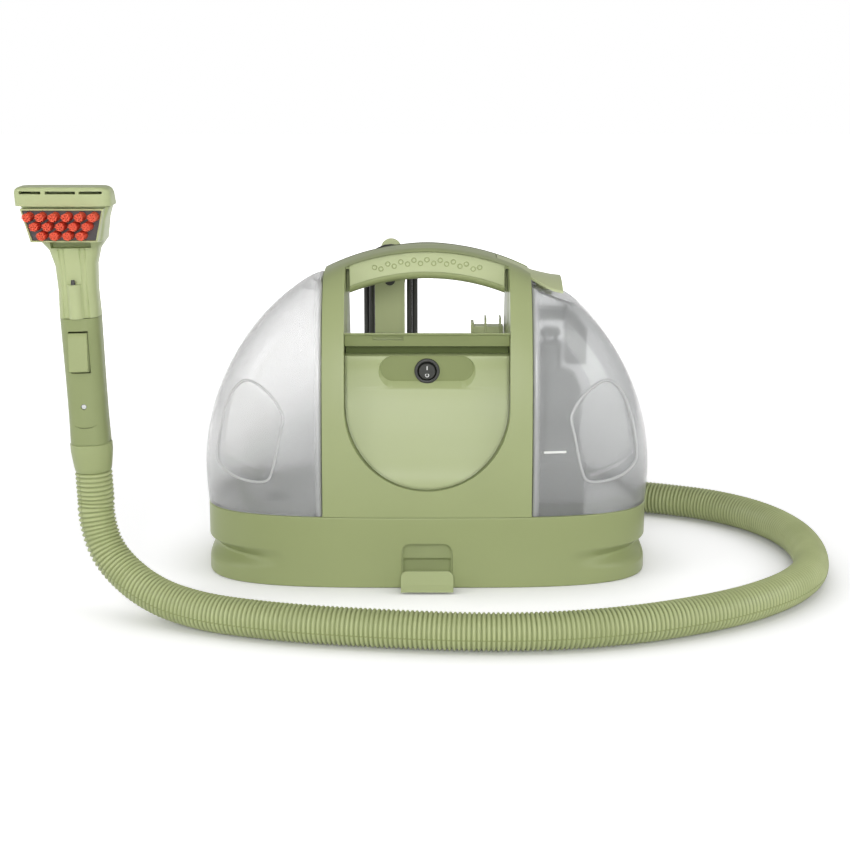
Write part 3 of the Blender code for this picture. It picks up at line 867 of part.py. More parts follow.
# Motor, fan and pump inside
MOTOR_Y = -5.0 * MM
FAN_LOW = 40.0 * MM
FAN_TOP = 80.0 * MM
MOTOR_TOP = 150.0 * MM
for x in (-34.0, 34.0):
    for y in (-34.0, 34.0):
        fuse(bottom_plate, rod("motor_post", (x * MM, MOTOR_Y + y * MM, PLATE_THICKNESS - 1.0 * MM), (x * MM, MOTOR_Y + y * MM, FAN_LOW), 5.0 * MM, sides=8))
at_motor = Matrix.Translation((0.0, MOTOR_Y, 0.0))
fan_housing = turned("fan_housing", [(7.0 * MM, FAN_TOP), (52.0 * MM, FAN_TOP), (52.0 * MM, FAN_LOW + SEAT_GAP), (16.0 * MM, FAN_LOW + SEAT_GAP), (16.0 * MM, FAN_LOW + 3.0 * MM), (49.0 * MM, FAN_LOW + 3.0 * MM), (49.0 * MM, FAN_TOP - 3.0 * MM), (7.0 * MM, FAN_TOP - 3.0 * MM)], at_motor, BLACK)
cut(fan_housing, box("fan_exhaust", (20.0 * MM, 20.0 * MM, FAN_LOW + 6.0 * MM), (40.0 * MM, 70.0 * MM, FAN_TOP - 8.0 * MM)))
fan_impeller = turned("fan_impeller", [(4.0 * MM + PIN_GAP, 70.0 * MM), (9.0 * MM, 70.0 * MM), (9.0 * MM, 52.0 * MM), (44.0 * MM, 52.0 * MM), (44.0 * MM, 50.0 * MM), (4.0 * MM + PIN_GAP, 50.0 * MM)], at_motor, GREY)
blades = bmesh.new()
for i in range(8):
    bmesh.ops.create_cube(blades, size=1.0, matrix=at_motor @ Matrix.Rotation(math.pi / 4.0 * i, 4, "Z") @ Matrix.Translation((25.5 * MM, 0.0, 60.0 * MM)) @ Matrix.Diagonal((34.0 * MM, 1.6 * MM, 18.0 * MM, 1.0)))
fuse(fan_impeller, from_bmesh("impeller_blades", blades, None))
motor_shaft = rod("motor_shaft", (0.0, MOTOR_Y, 46.0 * MM), (0.0, MOTOR_Y, MOTOR_TOP + 6.0 * MM), 4.0 * MM, STEEL, 14)
motor_can = turned("motor_can", [(4.0 * MM + PIN_GAP * 2.0, MOTOR_TOP), (34.0 * MM, MOTOR_TOP), (38.0 * MM, MOTOR_TOP - 6.0 * MM), (38.0 * MM, FAN_TOP + SEAT_GAP), (4.0 * MM + PIN_GAP * 2.0, FAN_TOP + SEAT_GAP)], at_motor, STEEL)

pump_floor = PLATE_THICKNESS + SEAT_GAP
solution_pump = box("solution_pump", (-92.0 * MM, 38.0 * MM, pump_floor), (-62.0 * MM, 64.0 * MM, 40.0 * MM), BLACK)
fuse(solution_pump, rod("pump_coil", (-77.0 * MM, 51.0 * MM, 39.0 * MM), (-77.0 * MM, 51.0 * MM, 52.0 * MM), 11.0 * MM, sides=16))
feed, _ = smooth_path([Vector(p) * MM for p in ((-150.0, 0.0, 35.4), (-150.0, 0.0, 28.0), (-147.0, 6.0, 20.0), (-132.0, 26.0, 18.0), (-112.0, 47.0, 20.0), (-100.0, 51.0, 20.0), (-92.6, 51.0, 20.0))], 11.0 * MM)
pump_feed_tube = tube("pump_feed_tube", feed, 3.5 * MM, CLEAR, 1)
spray, _ = smooth_path([Vector(p) * MM for p in ((-61.5, 51.0, 20.0), (-56.0, 51.0, 20.0), (-48.0, 53.0, 17.0), (-20.0, 64.0, 12.0), (4.0, 67.0, 15.0))] + [OUTLET_ROOT - Vector(p) * MM for p in ((31.0, 23.3, 19.0), (19.7, 14.8, 16.4))], 7.0 * MM)
pump_spray_tube = tube("pump_spray_tube", spray, 3.0 * MM, CLEAR, 1)
inlet = OUTLET_ROOT - heading * 17.0 * MM
intake, _ = smooth_path([inlet, inlet - heading * 6.0 * MM, inlet - heading * 12.0 * MM] + [Vector(p) * MM for p in ((27.0, 67.0, 40.0), (46.0, 54.0, 40.0), (80.0, 36.0, 40.0), (106.0, 14.0, 41.0), (118.0, 3.0, 45.0))] + [Vector((STACK_X, 0.0, 53.0 * MM)), Vector((STACK_X, 0.0, DECK_TOP + 1.6 * MM))], 12.0 * MM)
intake_pipe = solid_tube("intake_pipe", intake, 10.5 * MM, GREY, 1)
cut(intake_pipe, solid_tube("intake_bore", [intake[0] * 2.0 - intake[1]] + intake[1:-1] + [intake[-1] + Vector((0.0, 0.0, PAST))], 8.0 * MM, None, 1))
cut(base_tub, rod("intake_pass", (STACK_X, 0.0, DECK_UNDER - PAST), (STACK_X, 0.0, DECK_TOP + PAST), 12.0 * MM, sides=16))
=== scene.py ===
"""Looks of a portable spot extractor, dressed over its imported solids."""
import json
import math

import bmesh
import bpy
from mathutils import Matrix, Vector

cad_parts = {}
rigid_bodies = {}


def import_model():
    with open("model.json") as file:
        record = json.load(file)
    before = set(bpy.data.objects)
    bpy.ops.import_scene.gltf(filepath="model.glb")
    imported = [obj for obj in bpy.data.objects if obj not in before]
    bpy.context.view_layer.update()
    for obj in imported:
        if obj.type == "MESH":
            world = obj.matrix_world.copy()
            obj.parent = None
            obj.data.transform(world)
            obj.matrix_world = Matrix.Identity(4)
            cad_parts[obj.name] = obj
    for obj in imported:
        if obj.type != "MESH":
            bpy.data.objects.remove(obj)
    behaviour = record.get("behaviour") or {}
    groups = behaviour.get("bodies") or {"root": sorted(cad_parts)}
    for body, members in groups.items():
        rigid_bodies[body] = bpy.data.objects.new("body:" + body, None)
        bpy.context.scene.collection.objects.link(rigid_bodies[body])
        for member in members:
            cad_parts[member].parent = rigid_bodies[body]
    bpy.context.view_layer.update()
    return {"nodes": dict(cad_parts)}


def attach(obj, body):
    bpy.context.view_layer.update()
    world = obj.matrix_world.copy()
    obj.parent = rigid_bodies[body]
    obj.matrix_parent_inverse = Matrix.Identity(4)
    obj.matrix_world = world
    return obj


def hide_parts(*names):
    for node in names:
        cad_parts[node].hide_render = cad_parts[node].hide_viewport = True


for stale in list(bpy.data.objects):
    bpy.data.objects.remove(stale, do_unlink=True)
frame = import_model()
MM = 0.001


def linked(name, data):
    """A new object in the scene."""
    made = bpy.data.objects.new(name, data)
    bpy.context.scene.collection.objects.link(made)
    return made


# The camera stands at the photograph's viewing angle: in front of the machine,
# 13 degrees above level, with a long lens.
camera = linked("photo_camera", bpy.data.cameras.new("photo_camera"))
camera.location = (-0.002, -1.7938, 0.5521)
camera.rotation_euler = (math.radians(77), 0, 0)
camera.data.sensor_width = 36
camera.data.lens = 77.97
camera.data.clip_end = 20
bpy.context.scene.camera = camera
bpy.context.scene.view_settings.view_transform = "Standard"

# The suction hose is a corrugated tube blow-moulded in sage polyethylene.  It
# leaves the rear of the base, sweeps round the front and rises, stiff enough to
# hold the hand tool up.  A mould line runs along it.
HOSE_RADIUS = 17.15 * MM
RIB_PITCH = 4.2 * MM
RIB_DEPTH = 2.1 * MM
OUTLET_ROOT = Vector((50, 100, 40)) * MM
OUTLET_HEADING = Vector((math.cos(math.radians(37)), math.sin(math.radians(37)), 0))
TOOL_TURN = Matrix.Rotation(math.radians(-2.5), 4, "Z") @ Matrix.Rotation(math.radians(-2.2), 4, "Y")
TOOL_PLACE = Matrix.Translation((-0.3055, -0.160, 0.1326)) @ TOOL_TURN
HOSE_LIE = 17.3
HOSE_OUT = ((168, 176.5, 28.5), (200, 180, 20.5), (231, 173.5, 17.4))
HOSE_SWEEP = (
    (262, 160.5), (298, 142), (326, 119), (350, 89), (368, 50), (378, 4), (378, -50), (367, -102),
    (342, -148), (306, -187), (262, -219), (206, -247), (151, -265), (98, -274), (46, -275.5), (-6, -271),
    (-59, -263.5), (-112, -253.5), (-160, -239))
HOSE_UP = (
    (-194, -225, 17.6), (-218, -213, 19.5), (-238, -202.5, 23), (-257, -191.5, 29.5),
    (-273.5, -181, 38.5), (-287, -173, 50), (-296, -167.5, 63), (-301.5, -163.5, 78),
    (-304.3, -161.2, 94))
HOSE_KNOTS = (*HOSE_OUT, *[(x, y, HOSE_LIE) for x, y in HOSE_SWEEP], *HOSE_UP)


def linear(code):
    """An sRGB hex colour as linear red, green, blue and full alpha."""
    parts = [int(code[i:i + 2], 16) / 255 for i in (1, 3, 5)]
    return (*[c / 12.92 if c <= 0.04045 else ((c + 0.055) / 1.055) ** 2.4 for c in parts], 1)


def feed(node, links):
    """Feeds a node's inputs with other nodes, with their sockets or with values."""
    for socket, source in links.items():
        if isinstance(source, bpy.types.Node):
            source = next(output for output in source.outputs if output.enabled)
        if isinstance(source, bpy.types.NodeSocket):
            node.id_data.links.new(source, node.inputs[socket])
        else:
            node.inputs[socket].default_value = source


def add(tree, kind, links=None, **settings):
    """One node with its settings and links."""
    node = tree.nodes.new(kind)
    for key, value in settings.items():
        setattr(node, key, value)
    feed(node, links or {})
    return node


def mm(*values):
    return tuple(value * MM for value in values)


def blank_material(name):
    made = bpy.data.materials.new(name)
    made.use_nodes = True
    return made, made.node_tree, made.node_tree.nodes["Principled BSDF"]


def eased_line(knots, spacing):
    """Even points along a smooth curve through the knots, and its length."""
    knots = [Vector(k) for k in knots]
    padded = [knots[0] * 2 - knots[1]] + knots + [knots[-1] * 2 - knots[-2]]
    fine = []
    for p0, p1, p2, p3 in zip(padded, padded[1:], padded[2:], padded[3:]):
        for i in range(24):
            t = i / 24
            second = (2 * p0 - 5 * p1 + 4 * p2 - p3) * t * t
            third = (3 * p1 - p0 - 3 * p2 + p3) * t ** 3
            fine.append(0.5 * (2 * p1 + (p2 - p0) * t + second + third))
    fine.append(knots[-1])
    lengths = [0]
    for a, b in zip(fine, fine[1:]):
        lengths.append(lengths[-1] + (b - a).length)
    count = max(2, round(lengths[-1] / spacing))
    even, k = [], 0
    for i in range(count + 1):
        want = lengths[-1] * i / count
        while k < len(fine) - 2 and lengths[k + 1] < want:
            k += 1
        even.append(fine[k].lerp(fine[k + 1], (want - lengths[k]) / max(lengths[k + 1] - lengths[k], 1e-9)))
    return even, lengths[-1]


def curve_piece(name, points):
    curve = bpy.data.curves.new(name, "CURVE")
    curve.dimensions = "3D"
    spline = curve.splines.new("POLY")
    spline.points.add(len(points) - 1)
    for point, place in zip(spline.points, points):
        point.co = (*place, 1)
    return linked(name, curve)


def run_tree(carrier, tree, name, **sizes):
    """Sets a tree's named sizes on a carrier object and gives the plain mesh."""
    step = carrier.modifiers.new("made", "NODES")
    step.node_group = tree
    ids = {item.name: item.identifier for item in tree.interface.items_tree if item.in_out == "INPUT"}
    for key, value in sizes.items():
        step[ids[key.replace("_", " ")]] = value
    mesh = bpy.data.meshes.new_from_object(carrier.evaluated_get(bpy.context.evaluated_depsgraph_get()))
    mesh.name = name
    bpy.data.objects.remove(carrier, do_unlink=True)
    return linked(name, mesh)


def new_tree(name, **sizes):
    """A tree from geometry to geometry with named sizes, and the outlets they come from."""
    tree = bpy.data.node_groups.new(name, "GeometryNodeTree")
    for label, kind in {"Geometry": "Geometry", **sizes}.items():
        label = label.replace("_", " ")
        tree.interface.new_socket(name=label, in_out="INPUT", socket_type="NodeSocket" + kind)
    tree.interface.new_socket(name="Geometry", in_out="OUTPUT", socket_type="NodeSocketGeometry")
    return tree, add(tree, "NodeGroupInput").outputs


tool_up = (TOOL_PLACE.to_3x3() @ Vector((0, 0, 1))).normalized()
hose_start = OUTLET_ROOT + OUTLET_HEADING * 70.8 * MM
hose_end = TOOL_PLACE.translation - tool_up * 0.4 * MM
straight = 2 * HOSE_RADIUS
hose_knots = [hose_start + OUTLET_HEADING * straight * share for share in (0, 0.4, 0.8)]
hose_knots += [Vector(p) * MM for p in HOSE_KNOTS]
hose_knots += [hose_end - tool_up * straight * share for share in (0.8, 0.4, 0)]
hose_line, hose_length = eased_line(hose_knots, 3 * MM)

# Low-density polyethylene, blow-moulded: satin and a little waxy, with painted shade in the valleys
# and a painted highlight on the crests, and a fine pale line where the mould halves met.
hose_finish, tree, shader = blank_material("blow_moulded_polyethylene_sage")
height = add(tree, "ShaderNodeAttribute", attribute_name="rib_height")
around = add(tree, "ShaderNodeAttribute", attribute_name="around")
place = add(tree, "ShaderNodeTexCoord").outputs["Object"]
cloud = add(tree, "ShaderNodeTexNoise", {"Vector": place, "Scale": 1 / 0.045, "Detail": 2})
grain = add(tree, "ShaderNodeTexNoise", {"Vector": place, "Scale": 1 / 0.0013, "Detail": 2})
# The ramp paints shade into the valleys and a highlight onto the crests.
rise = add(tree, "ShaderNodeValToRGB", {"Fac": height.outputs["Fac"]})
rise.color_ramp.elements[0].color = linear("#5F6B36")
rise.color_ramp.elements[1].color = linear("#C8D19B")
rise.color_ramp.elements[1].position = 0.72
mottle = add(tree, "ShaderNodeMix", {0: cloud, 6: rise, 7: linear("#A3AC78")}, data_type="RGBA")
seam = add(tree, "ShaderNodeMath", {0: around.outputs["Fac"], 1: 0.5, 2: 0.006}, operation="COMPARE")
lined = add(tree, "ShaderNodeMix", {0: seam, 6: mottle, 7: linear("#98A26C")}, data_type="RGBA")
bump = add(tree, "ShaderNodeBump", {"Height": grain, "Strength": 0.12, "Distance": 0.0003})
feed(shader, {"Base Color": lined, "Normal": bump, "Roughness": 0.42, "IOR": 1.51})

ribbed, given = new_tree(
    "corrugated_hose", Outer_Radius="Float", Rib_Depth="Float", Rib_Pitch="Float", Rings="Int",
    Finish="Material")
run = add(ribbed, "GeometryNodeResampleCurve", {"Curve": given["Geometry"], "Count": given["Rings"]})
along = add(ribbed, "GeometryNodeSplineParameter")
turns = add(
    ribbed, "ShaderNodeMath", {0: along.outputs["Length"], 1: given["Rib Pitch"]}, operation="DIVIDE")
phase = add(ribbed, "ShaderNodeMath", {0: turns, 1: 2 * math.pi}, operation="MULTIPLY")
wave = add(ribbed, "ShaderNodeMath", {0: phase}, operation="COSINE")
share = add(ribbed, "ShaderNodeMath", {0: wave, 1: -0.5, 2: 0.5}, operation="MULTIPLY_ADD")
crest = add(ribbed, "ShaderNodeMath", {0: share, 1: 0.7}, operation="POWER")
kept = add(
    ribbed, "GeometryNodeStoreNamedAttribute", {"Geometry": run, "Name": "rib_height", "Value": crest},
    data_type="FLOAT", domain="POINT")
fall = add(ribbed, "ShaderNodeMath", {0: 1, 1: crest}, operation="SUBTRACT")
drop = add(ribbed, "ShaderNodeMath", {0: fall, 1: given["Rib Depth"]}, operation="MULTIPLY")
scale_down = add(ribbed, "ShaderNodeMath", {0: drop, 1: given["Outer Radius"]}, operation="DIVIDE")
swell = add(ribbed, "ShaderNodeMath", {0: 1, 1: scale_down}, operation="SUBTRACT")
ring = add(ribbed, "GeometryNodeCurvePrimitiveCircle", {"Resolution": 28, "Radius": given["Outer Radius"]})
turn_share = add(ribbed, "GeometryNodeSplineParameter")
ring_kept = add(
    ribbed, "GeometryNodeStoreNamedAttribute", {"Geometry": ring, "Name": "around", "Value": turn_share},
    data_type="FLOAT", domain="POINT")
wall = add(
    ribbed, "GeometryNodeCurveToMesh",
    {"Curve": kept, "Profile Curve": ring_kept, "Scale": swell, "Fill Caps": True})
smooth = add(ribbed, "GeometryNodeSetShadeSmooth", {"Geometry": wall})
painted = add(ribbed, "GeometryNodeSetMaterial", {"Geometry": smooth, "Material": given["Finish"]})
whole = add(ribbed, "GeometryNodeRealizeInstances", {"Geometry": painted})
add(ribbed, "NodeGroupOutput", {"Geometry": whole})
rib_count = round(hose_length / RIB_PITCH)
hose = run_tree(
    curve_piece("hose_line", hose_line), ribbed, "ribbed_hose", Outer_Radius=HOSE_RADIUS,
    Rib_Depth=RIB_DEPTH, Rib_Pitch=hose_length / rib_count, Rings=rib_count * 6 + 1, Finish=hose_finish)
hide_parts("suction_hose")
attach(hose, "machine")

# The mains lead is a round rubber-sheathed cord wound on the two rear hooks, five
# turns on the hubs and four over them, and it ends in a two-blade plug that hangs.
CORD_X = -37.9 * MM
CORD_LOW = 112 * MM
CORD_HIGH = 274 * MM
DRUM_RADIUS = 15.8 * MM
CORD_RADIUS = 2.8 * MM
CORD_PITCH = 6.4 * MM
CORD_FIRST = 106.5 * MM
INNER_LOOPS = 5
OUTER_LOOPS = 4
PLUG_TOP = 74 * MM
ARC_POINTS = 13
inner_turn = DRUM_RADIUS + 1 * MM + CORD_RADIUS
outer_turn = inner_turn + 5.75 * MM
lead_x = CORD_X - inner_turn
LEAD_RISE = (
    (112, 32), (118.5, 32.8), (124.5, 36.5), (127.8, 43), (127.6, 51), (124, 60.5), (117.5, 71),
    (111, 81.5), (107.4, 92), (106.6, 102))
cord_line, _ = eased_line([(lead_x, y * MM, z * MM) for y, z in LEAD_RISE], 4 * MM)
for half_turn in range(2 * INNER_LOOPS + 1 + 2 * OUTER_LOOPS):
    high = half_turn % 2 == 0
    for i in range(ARC_POINTS):
        part = i / (ARC_POINTS - 1)
        at = (half_turn + part) / 2
        if at <= INNER_LOOPS:
            radius, step = inner_turn, at
        elif at <= INNER_LOOPS + 0.5:
            radius = inner_turn + (outer_turn - inner_turn) * (at - INNER_LOOPS) * 2
            step = 2 * at - INNER_LOOPS
        elif at <= INNER_LOOPS + 1:
            radius, step = outer_turn, INNER_LOOPS + 1 - 2.6 * (at - INNER_LOOPS - 0.5)
        else:
            radius, step = outer_turn, 2 * INNER_LOOPS + 0.7 - at
        y = CORD_FIRST + CORD_PITCH * step
        angle = math.pi * (1 - part) if high else -math.pi * part
        hub = CORD_HIGH if high else CORD_LOW
        cord_line.append(Vector((CORD_X + radius * math.cos(angle), y, hub + radius * math.sin(angle))))
plug_x, plug_y = cord_line[-1].x, cord_line[-1].y
cord_line += [Vector((plug_x, plug_y, CORD_LOW - 16 * MM)), Vector((plug_x, plug_y, PLUG_TOP + 0.2 * MM))]


def grained(name, grain_mm, detail, dark, pale, dull=None, relief=0, more=None):
    """A finish of two near shades in a fine grain, which may also set its dullness
    between two values and give it relief.  More holds values for the shader."""
    made, tree, shader = blank_material(name)
    place = add(tree, "ShaderNodeTexCoord").outputs["Object"]
    grain = add(
        tree, "ShaderNodeTexNoise", {"Vector": place, "Scale": 1 / (grain_mm * MM), "Detail": detail})
    tone = add(tree, "ShaderNodeMix", {0: grain, 6: linear(dark), 7: linear(pale)}, data_type="RGBA")
    feed(shader, {"Base Color": tone, **(more or {})})
    if dull:
        sheen = add(tree, "ShaderNodeMapRange", {"Value": grain, "To Min": dull[0], "To Max": dull[1]})
        feed(shader, {"Roughness": sheen})
    if relief:
        bump = add(tree, "ShaderNodeBump", {"Height": grain, "Strength": relief, "Distance": 0.3 * MM})
        feed(shader, {"Normal": bump})
    return made


# Flexible PVC sheath, extruded: near-black, matt, with faint draw lines.
cord_finish = grained("extruded_pvc_black", 2.2, 3, "#3A3A39", "#474746", (0.5, 0.64), 0.15)
cord = curve_piece("mains_cord", cord_line)
cord.data.bevel_depth = CORD_RADIUS
cord.data.bevel_resolution = 3
cord.data.use_fill_caps = True
cord.data.materials.append(cord_finish)
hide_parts("power_cord")
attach(cord, "machine")

# The base is one injection-moulded tub in sage ABS.  Its ends are waisted by a
# groove above the foot, its top has a pocket for each tank, and a rounded window
# at the front takes the hose clip.
BASE_LENGTH = 217 * MM
BODY_DEPTH = 101 * MM
BODY_POWER = 3.4
BASE_HEIGHT = 70 * MM
DECK_TOP = 63 * MM
RIM_WIDTH = 4.6 * MM
CAP_X = -150 * MM
INTAKE_X = 121.5 * MM
TANK_START = 100.6 * MM
GROOVE = (
    (12, 0), (14, 0.03), (16.5, 0.16), (19, 0.42), (21.5, 0.74), (24, 0.95), (26, 0.98), (28, 0.86),
    (30, 0.66), (32, 0.42), (34, 0.2), (35.5, 0.07), (37, 0))


def sage_abs(name, code, roughness=0.34):
    """Injection-moulded ABS: even colour, semi-gloss, a faint spark-eroded grain.

    The real grain is about 0.3 mm; it is drawn at 1 mm so that it shows.
    """
    made, tree, shader = blank_material(name)
    place = add(tree, "ShaderNodeTexCoord").outputs["Object"]
    drift = add(tree, "ShaderNodeTexNoise", {"Vector": place, "Scale": 1 / 0.06, "Detail": 2})
    grain = add(tree, "ShaderNodeTexNoise", {"Vector": place, "Scale": 1 / 0.001, "Detail": 1})
    tone = linear(code)
    dark, pale = ((*[min(1, c * share) for c in tone[:3]], 1) for share in (0.965, 1.035))
    mixed = add(tree, "ShaderNodeMix", {0: drift, 6: dark, 7: pale}, data_type="RGBA")
    sheen = add(
        tree, "ShaderNodeMapRange",
        {"Value": drift, "To Min": roughness - 0.04, "To Max": roughness + 0.05})
    bump = add(tree, "ShaderNodeBump", {"Height": grain, "Strength": 0.05, "Distance": 0.0002})
    feed(
        shader,
        {"Base Color": mixed, "Roughness": sheen, "Normal": bump, "IOR": 1.53, "Specular IOR Level": 0.32})
    return made


def from_bmesh(name, bm):
    bmesh.ops.recalc_face_normals(bm, faces=bm.faces)
    if bm.calc_volume(signed=True) < 0:
        bmesh.ops.reverse_faces(bm, faces=bm.faces)
    mesh = bpy.data.meshes.new(name)
    bm.to_mesh(mesh)
    bm.free()
    return linked(name, mesh)


def skin(name, rings, looped=False):
    """A form through rings of points, closed at its ends or looped back on itself."""
    bm = bmesh.new()
    rows = [[bm.verts.new(point) for point in ring] for ring in rings]
    for low, high in zip(rows, rows[1:] + rows[:1] if looped else rows[1:]):
        for i in range(len(low)):
            j = (i + 1) % len(low)
            bm.faces.new((low[i], low[j], high[j], high[i]))
    if not looped:
        bm.faces.new(rows[0])
        bm.faces.new(list(reversed(rows[-1])))
    return from_bmesh(name, bm)


def plate(name, outline, low, high, facing):
    """An outline given thickness: facing names the axis that it is pushed along."""
    order = {"x": (2, 0, 1), "y": (0, 2, 1), "z": (0, 1, 2)}[facing]
    return skin(name, [[[(a, b, c)[i] for i in order] for a, b in outline] for c in (low, high)])


def block(name, low, high):
    low, high = Vector(low), Vector(high)
    bm = bmesh.new()
    place = Matrix.Translation((low + high) / 2) @ Matrix.Diagonal((*(high - low), 1))
    bmesh.ops.create_cube(bm, size=1, matrix=place)
    return from_bmesh(name, bm)


def peg(name, start, end, radius, end_radius=None, sides=48):
    start, end = Vector(start), Vector(end)
    bm = bmesh.new()
    top = radius if end_radius is None else end_radius
    turn = (end - start).to_track_quat("Z", "Y").to_matrix().to_4x4()
    place = Matrix.Translation((start + end) / 2) @ turn
    depth = (end - start).length
    bmesh.ops.create_cone(
        bm, cap_ends=True, segments=sides, radius1=radius, radius2=top, depth=depth, matrix=place)
    return from_bmesh(name, bm)


def lathe(name, profile, place, sides=64):
    """A turned ring or stub from (radius, height) points in mm, placed by a matrix."""
    closed = profile[0][0] > 0
    bm = bmesh.new()
    rows = []
    for radius, height in (mm(*point) for point in profile):
        if radius <= 0:
            rows.append([bm.verts.new(place @ Vector((0, 0, height)))])
        else:
            turns = [2 * math.pi * i / sides for i in range(sides)]
            ring = [(radius * math.cos(t), radius * math.sin(t), height) for t in turns]
            rows.append([bm.verts.new(place @ Vector(point)) for point in ring])
    for low, high in zip(rows, rows[1:] + rows[:1] if closed else rows[1:]):
        for i in range(sides):
            j = (i + 1) % sides
            ring = [low[i % len(low)], low[j % len(low)], high[j % len(high)], high[i % len(high)]]
            bm.faces.new(list(dict.fromkeys(ring)))
    return from_bmesh(name, bm)


def applied(piece):
    """Makes a piece's modifiers part of its mesh."""
    mesh = bpy.data.meshes.new_from_object(piece.evaluated_get(bpy.context.evaluated_depsgraph_get()))
    piece.modifiers.clear()
    piece.data = mesh


def worked(target, operation, *tools):
    """Cuts, joins or limits a piece by others, which are used up."""
    for tool in tools:
        step = target.modifiers.new("step", "BOOLEAN")
        step.operation = operation
        step.solver = "MANIFOLD"
        step.object = tool
        applied(target)
        bpy.data.objects.remove(tool, do_unlink=True)
    return target


def cut(target, *tools):
    return worked(target, "DIFFERENCE", *tools)


def join(target, *tools):
    return worked(target, "UNION", *tools)


CREASE = math.radians(34)
FLAT = math.radians(0.4)
MERGE_GAP = 2e-6


def settle(piece, nodes, finish, rounding, body="machine", place=None):
    """Rounds the edges of a finished piece and lets it stand for its solids."""
    bm = bmesh.new()
    bm.from_mesh(piece.data)
    if place is not None:
        bm.transform(place)
    bmesh.ops.remove_doubles(bm, verts=bm.verts, dist=MERGE_GAP)
    bmesh.ops.dissolve_degenerate(bm, edges=bm.edges, dist=MERGE_GAP)
    bmesh.ops.dissolve_limit(bm, angle_limit=FLAT, verts=bm.verts, edges=bm.edges)
    if rounding:
        edges = [e for e in bm.edges if len(e.link_faces) == 2 and e.calc_face_angle() > CREASE]
        bmesh.ops.bevel(
            bm, geom=edges, offset=rounding, offset_type="OFFSET", segments=2, profile=0.5,
            affect="EDGES", clamp_overlap=True)
    bmesh.ops.triangulate(bm, faces=[f for f in bm.faces if len(f.verts) > 4])
    bm.to_mesh(piece.data)
    bm.free()
    piece.data.shade_smooth()
    piece.data.set_sharp_from_angle(angle=CREASE)
    if rounding:
        piece.modifiers.new("weigh", "WEIGHTED_NORMAL").keep_sharp = True
        applied(piece)
    piece.data.materials.clear()
    piece.data.materials.append(finish)
    if nodes:
        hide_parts(*nodes)
    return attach(piece, body)


def plan_radius(angle, length, depth, power):
    return (abs(math.cos(angle) / length) ** power + abs(math.sin(angle) / depth) ** power) ** (-1 / power)


def eased(value, power):
    """A sine or cosine bent to a superellipse."""
    return math.copysign(abs(value) ** (2 / power), value)


base_angles = []
for i in range(144):
    c, s = (turned(2 * math.pi * i / 144) for turned in (math.cos, math.sin))
    base_angles.append(math.atan2(BODY_DEPTH * eased(s, BODY_POWER), BASE_LENGTH * eased(c, BODY_POWER)))


def base_outline(share, inset):
    points = []
    for angle in base_angles:
        outer = plan_radius(angle, BASE_LENGTH, BODY_DEPTH, BODY_POWER)
        neck = plan_radius(angle, BASE_LENGTH - 6 * MM, 114.5 * MM, 2.3)
        radius = outer - share * max(0, outer - neck) - inset
        points.append((radius * math.cos(angle), radius * math.sin(angle)))
    return points


def end_outline(length, depth, start, steps=24):
    """One end of the plan, from the start line round the tip and back."""
    first = math.acos(min(1, (start / length) ** (BODY_POWER / 2)))
    turn = [first * (1 - i / steps) for i in range(steps + 1)]
    half = [(length * eased(math.cos(t), BODY_POWER), depth * eased(math.sin(t), BODY_POWER)) for t in turn]
    return [(x, -y) for x, y in half] + [(x, y) for x, y in reversed(half[:-1])]


def arc(centre, radius, start, turn, steps):
    """Points round a part of a circle."""
    angles = [start + turn * i / steps for i in range(steps + 1)]
    return [(centre[0] + radius * math.cos(t), centre[1] + radius * math.sin(t)) for t in angles]


def rounded_top(half, low, high, radius):
    points = [(-half, low), (half, low)]
    for corner, start in ((half - radius, 0), (radius - half, math.pi / 2)):
        points += arc((corner, high - radius), radius, start, math.pi / 2, 8)
    return points


base_finish = sage_abs("moulded_abs_sage_base", "#A2AC79")
base_levels = [(0, 0, 1.5), (0.5, 0, 0.6), (1.5, 0, 0)] + [(z, share, 0) for z, share in GROOVE]
base_levels += [(50, 0, 0), (68.4, 0, 0), (69.3, 0, 0.3), (69.8, 0, 0.7), (70, 0, 1.3)]
base_rings = []
for z, share, inset in base_levels:
    base_rings.append([(x, y, z * MM) for x, y in base_outline(share, inset * MM)])
base = skin("base_shell", base_rings)
cut(base, plate("hollow", base_outline(1, 3 * MM), -6 * MM, 57 * MM, "z"))
pocket = end_outline(BASE_LENGTH - RIM_WIDTH, BODY_DEPTH - RIM_WIDTH, TANK_START + 0.4 * MM)
for side in (-1, 1):
    cut(base, plate("pocket", [(side * x, y) for x, y in pocket], DECK_TOP, BASE_HEIGHT + 6 * MM, "z"))
cut(base, block("well", mm(-95, -94, 50), mm(95, 94, 76)))
outlet_ends = [OUTLET_ROOT + OUTLET_HEADING * reach for reach in (-0.05, 0.06)]
cut(
    base, plate("window", rounded_top(*mm(24.4, 3.2, 44.4, 8)), *mm(-107, -89), "y"),
    peg("gland_hole", (lead_x, 0.08, 0.032), (lead_x, 0.12, 0.032), 7 * MM),
    peg("outlet_hole", *outlet_ends, 19.8 * MM),
    peg("seat_hole", (CAP_X, 0, 0.05), (CAP_X, 0, 0.066), 24.4 * MM),
    peg("intake_hole", (INTAKE_X, 0, 0.05), (INTAKE_X, 0, 0.07), 12 * MM))
settle(base, ["base_tub"], base_finish, 0.5 * MM)

# The bottom plate is a flat ABS lid that closes the tub from below.
settle(
    plate("bottom_lid", base_outline(1, 3.4 * MM), 0, 3 * MM, "z"), ["bottom_plate"], base_finish,
    0.3 * MM)

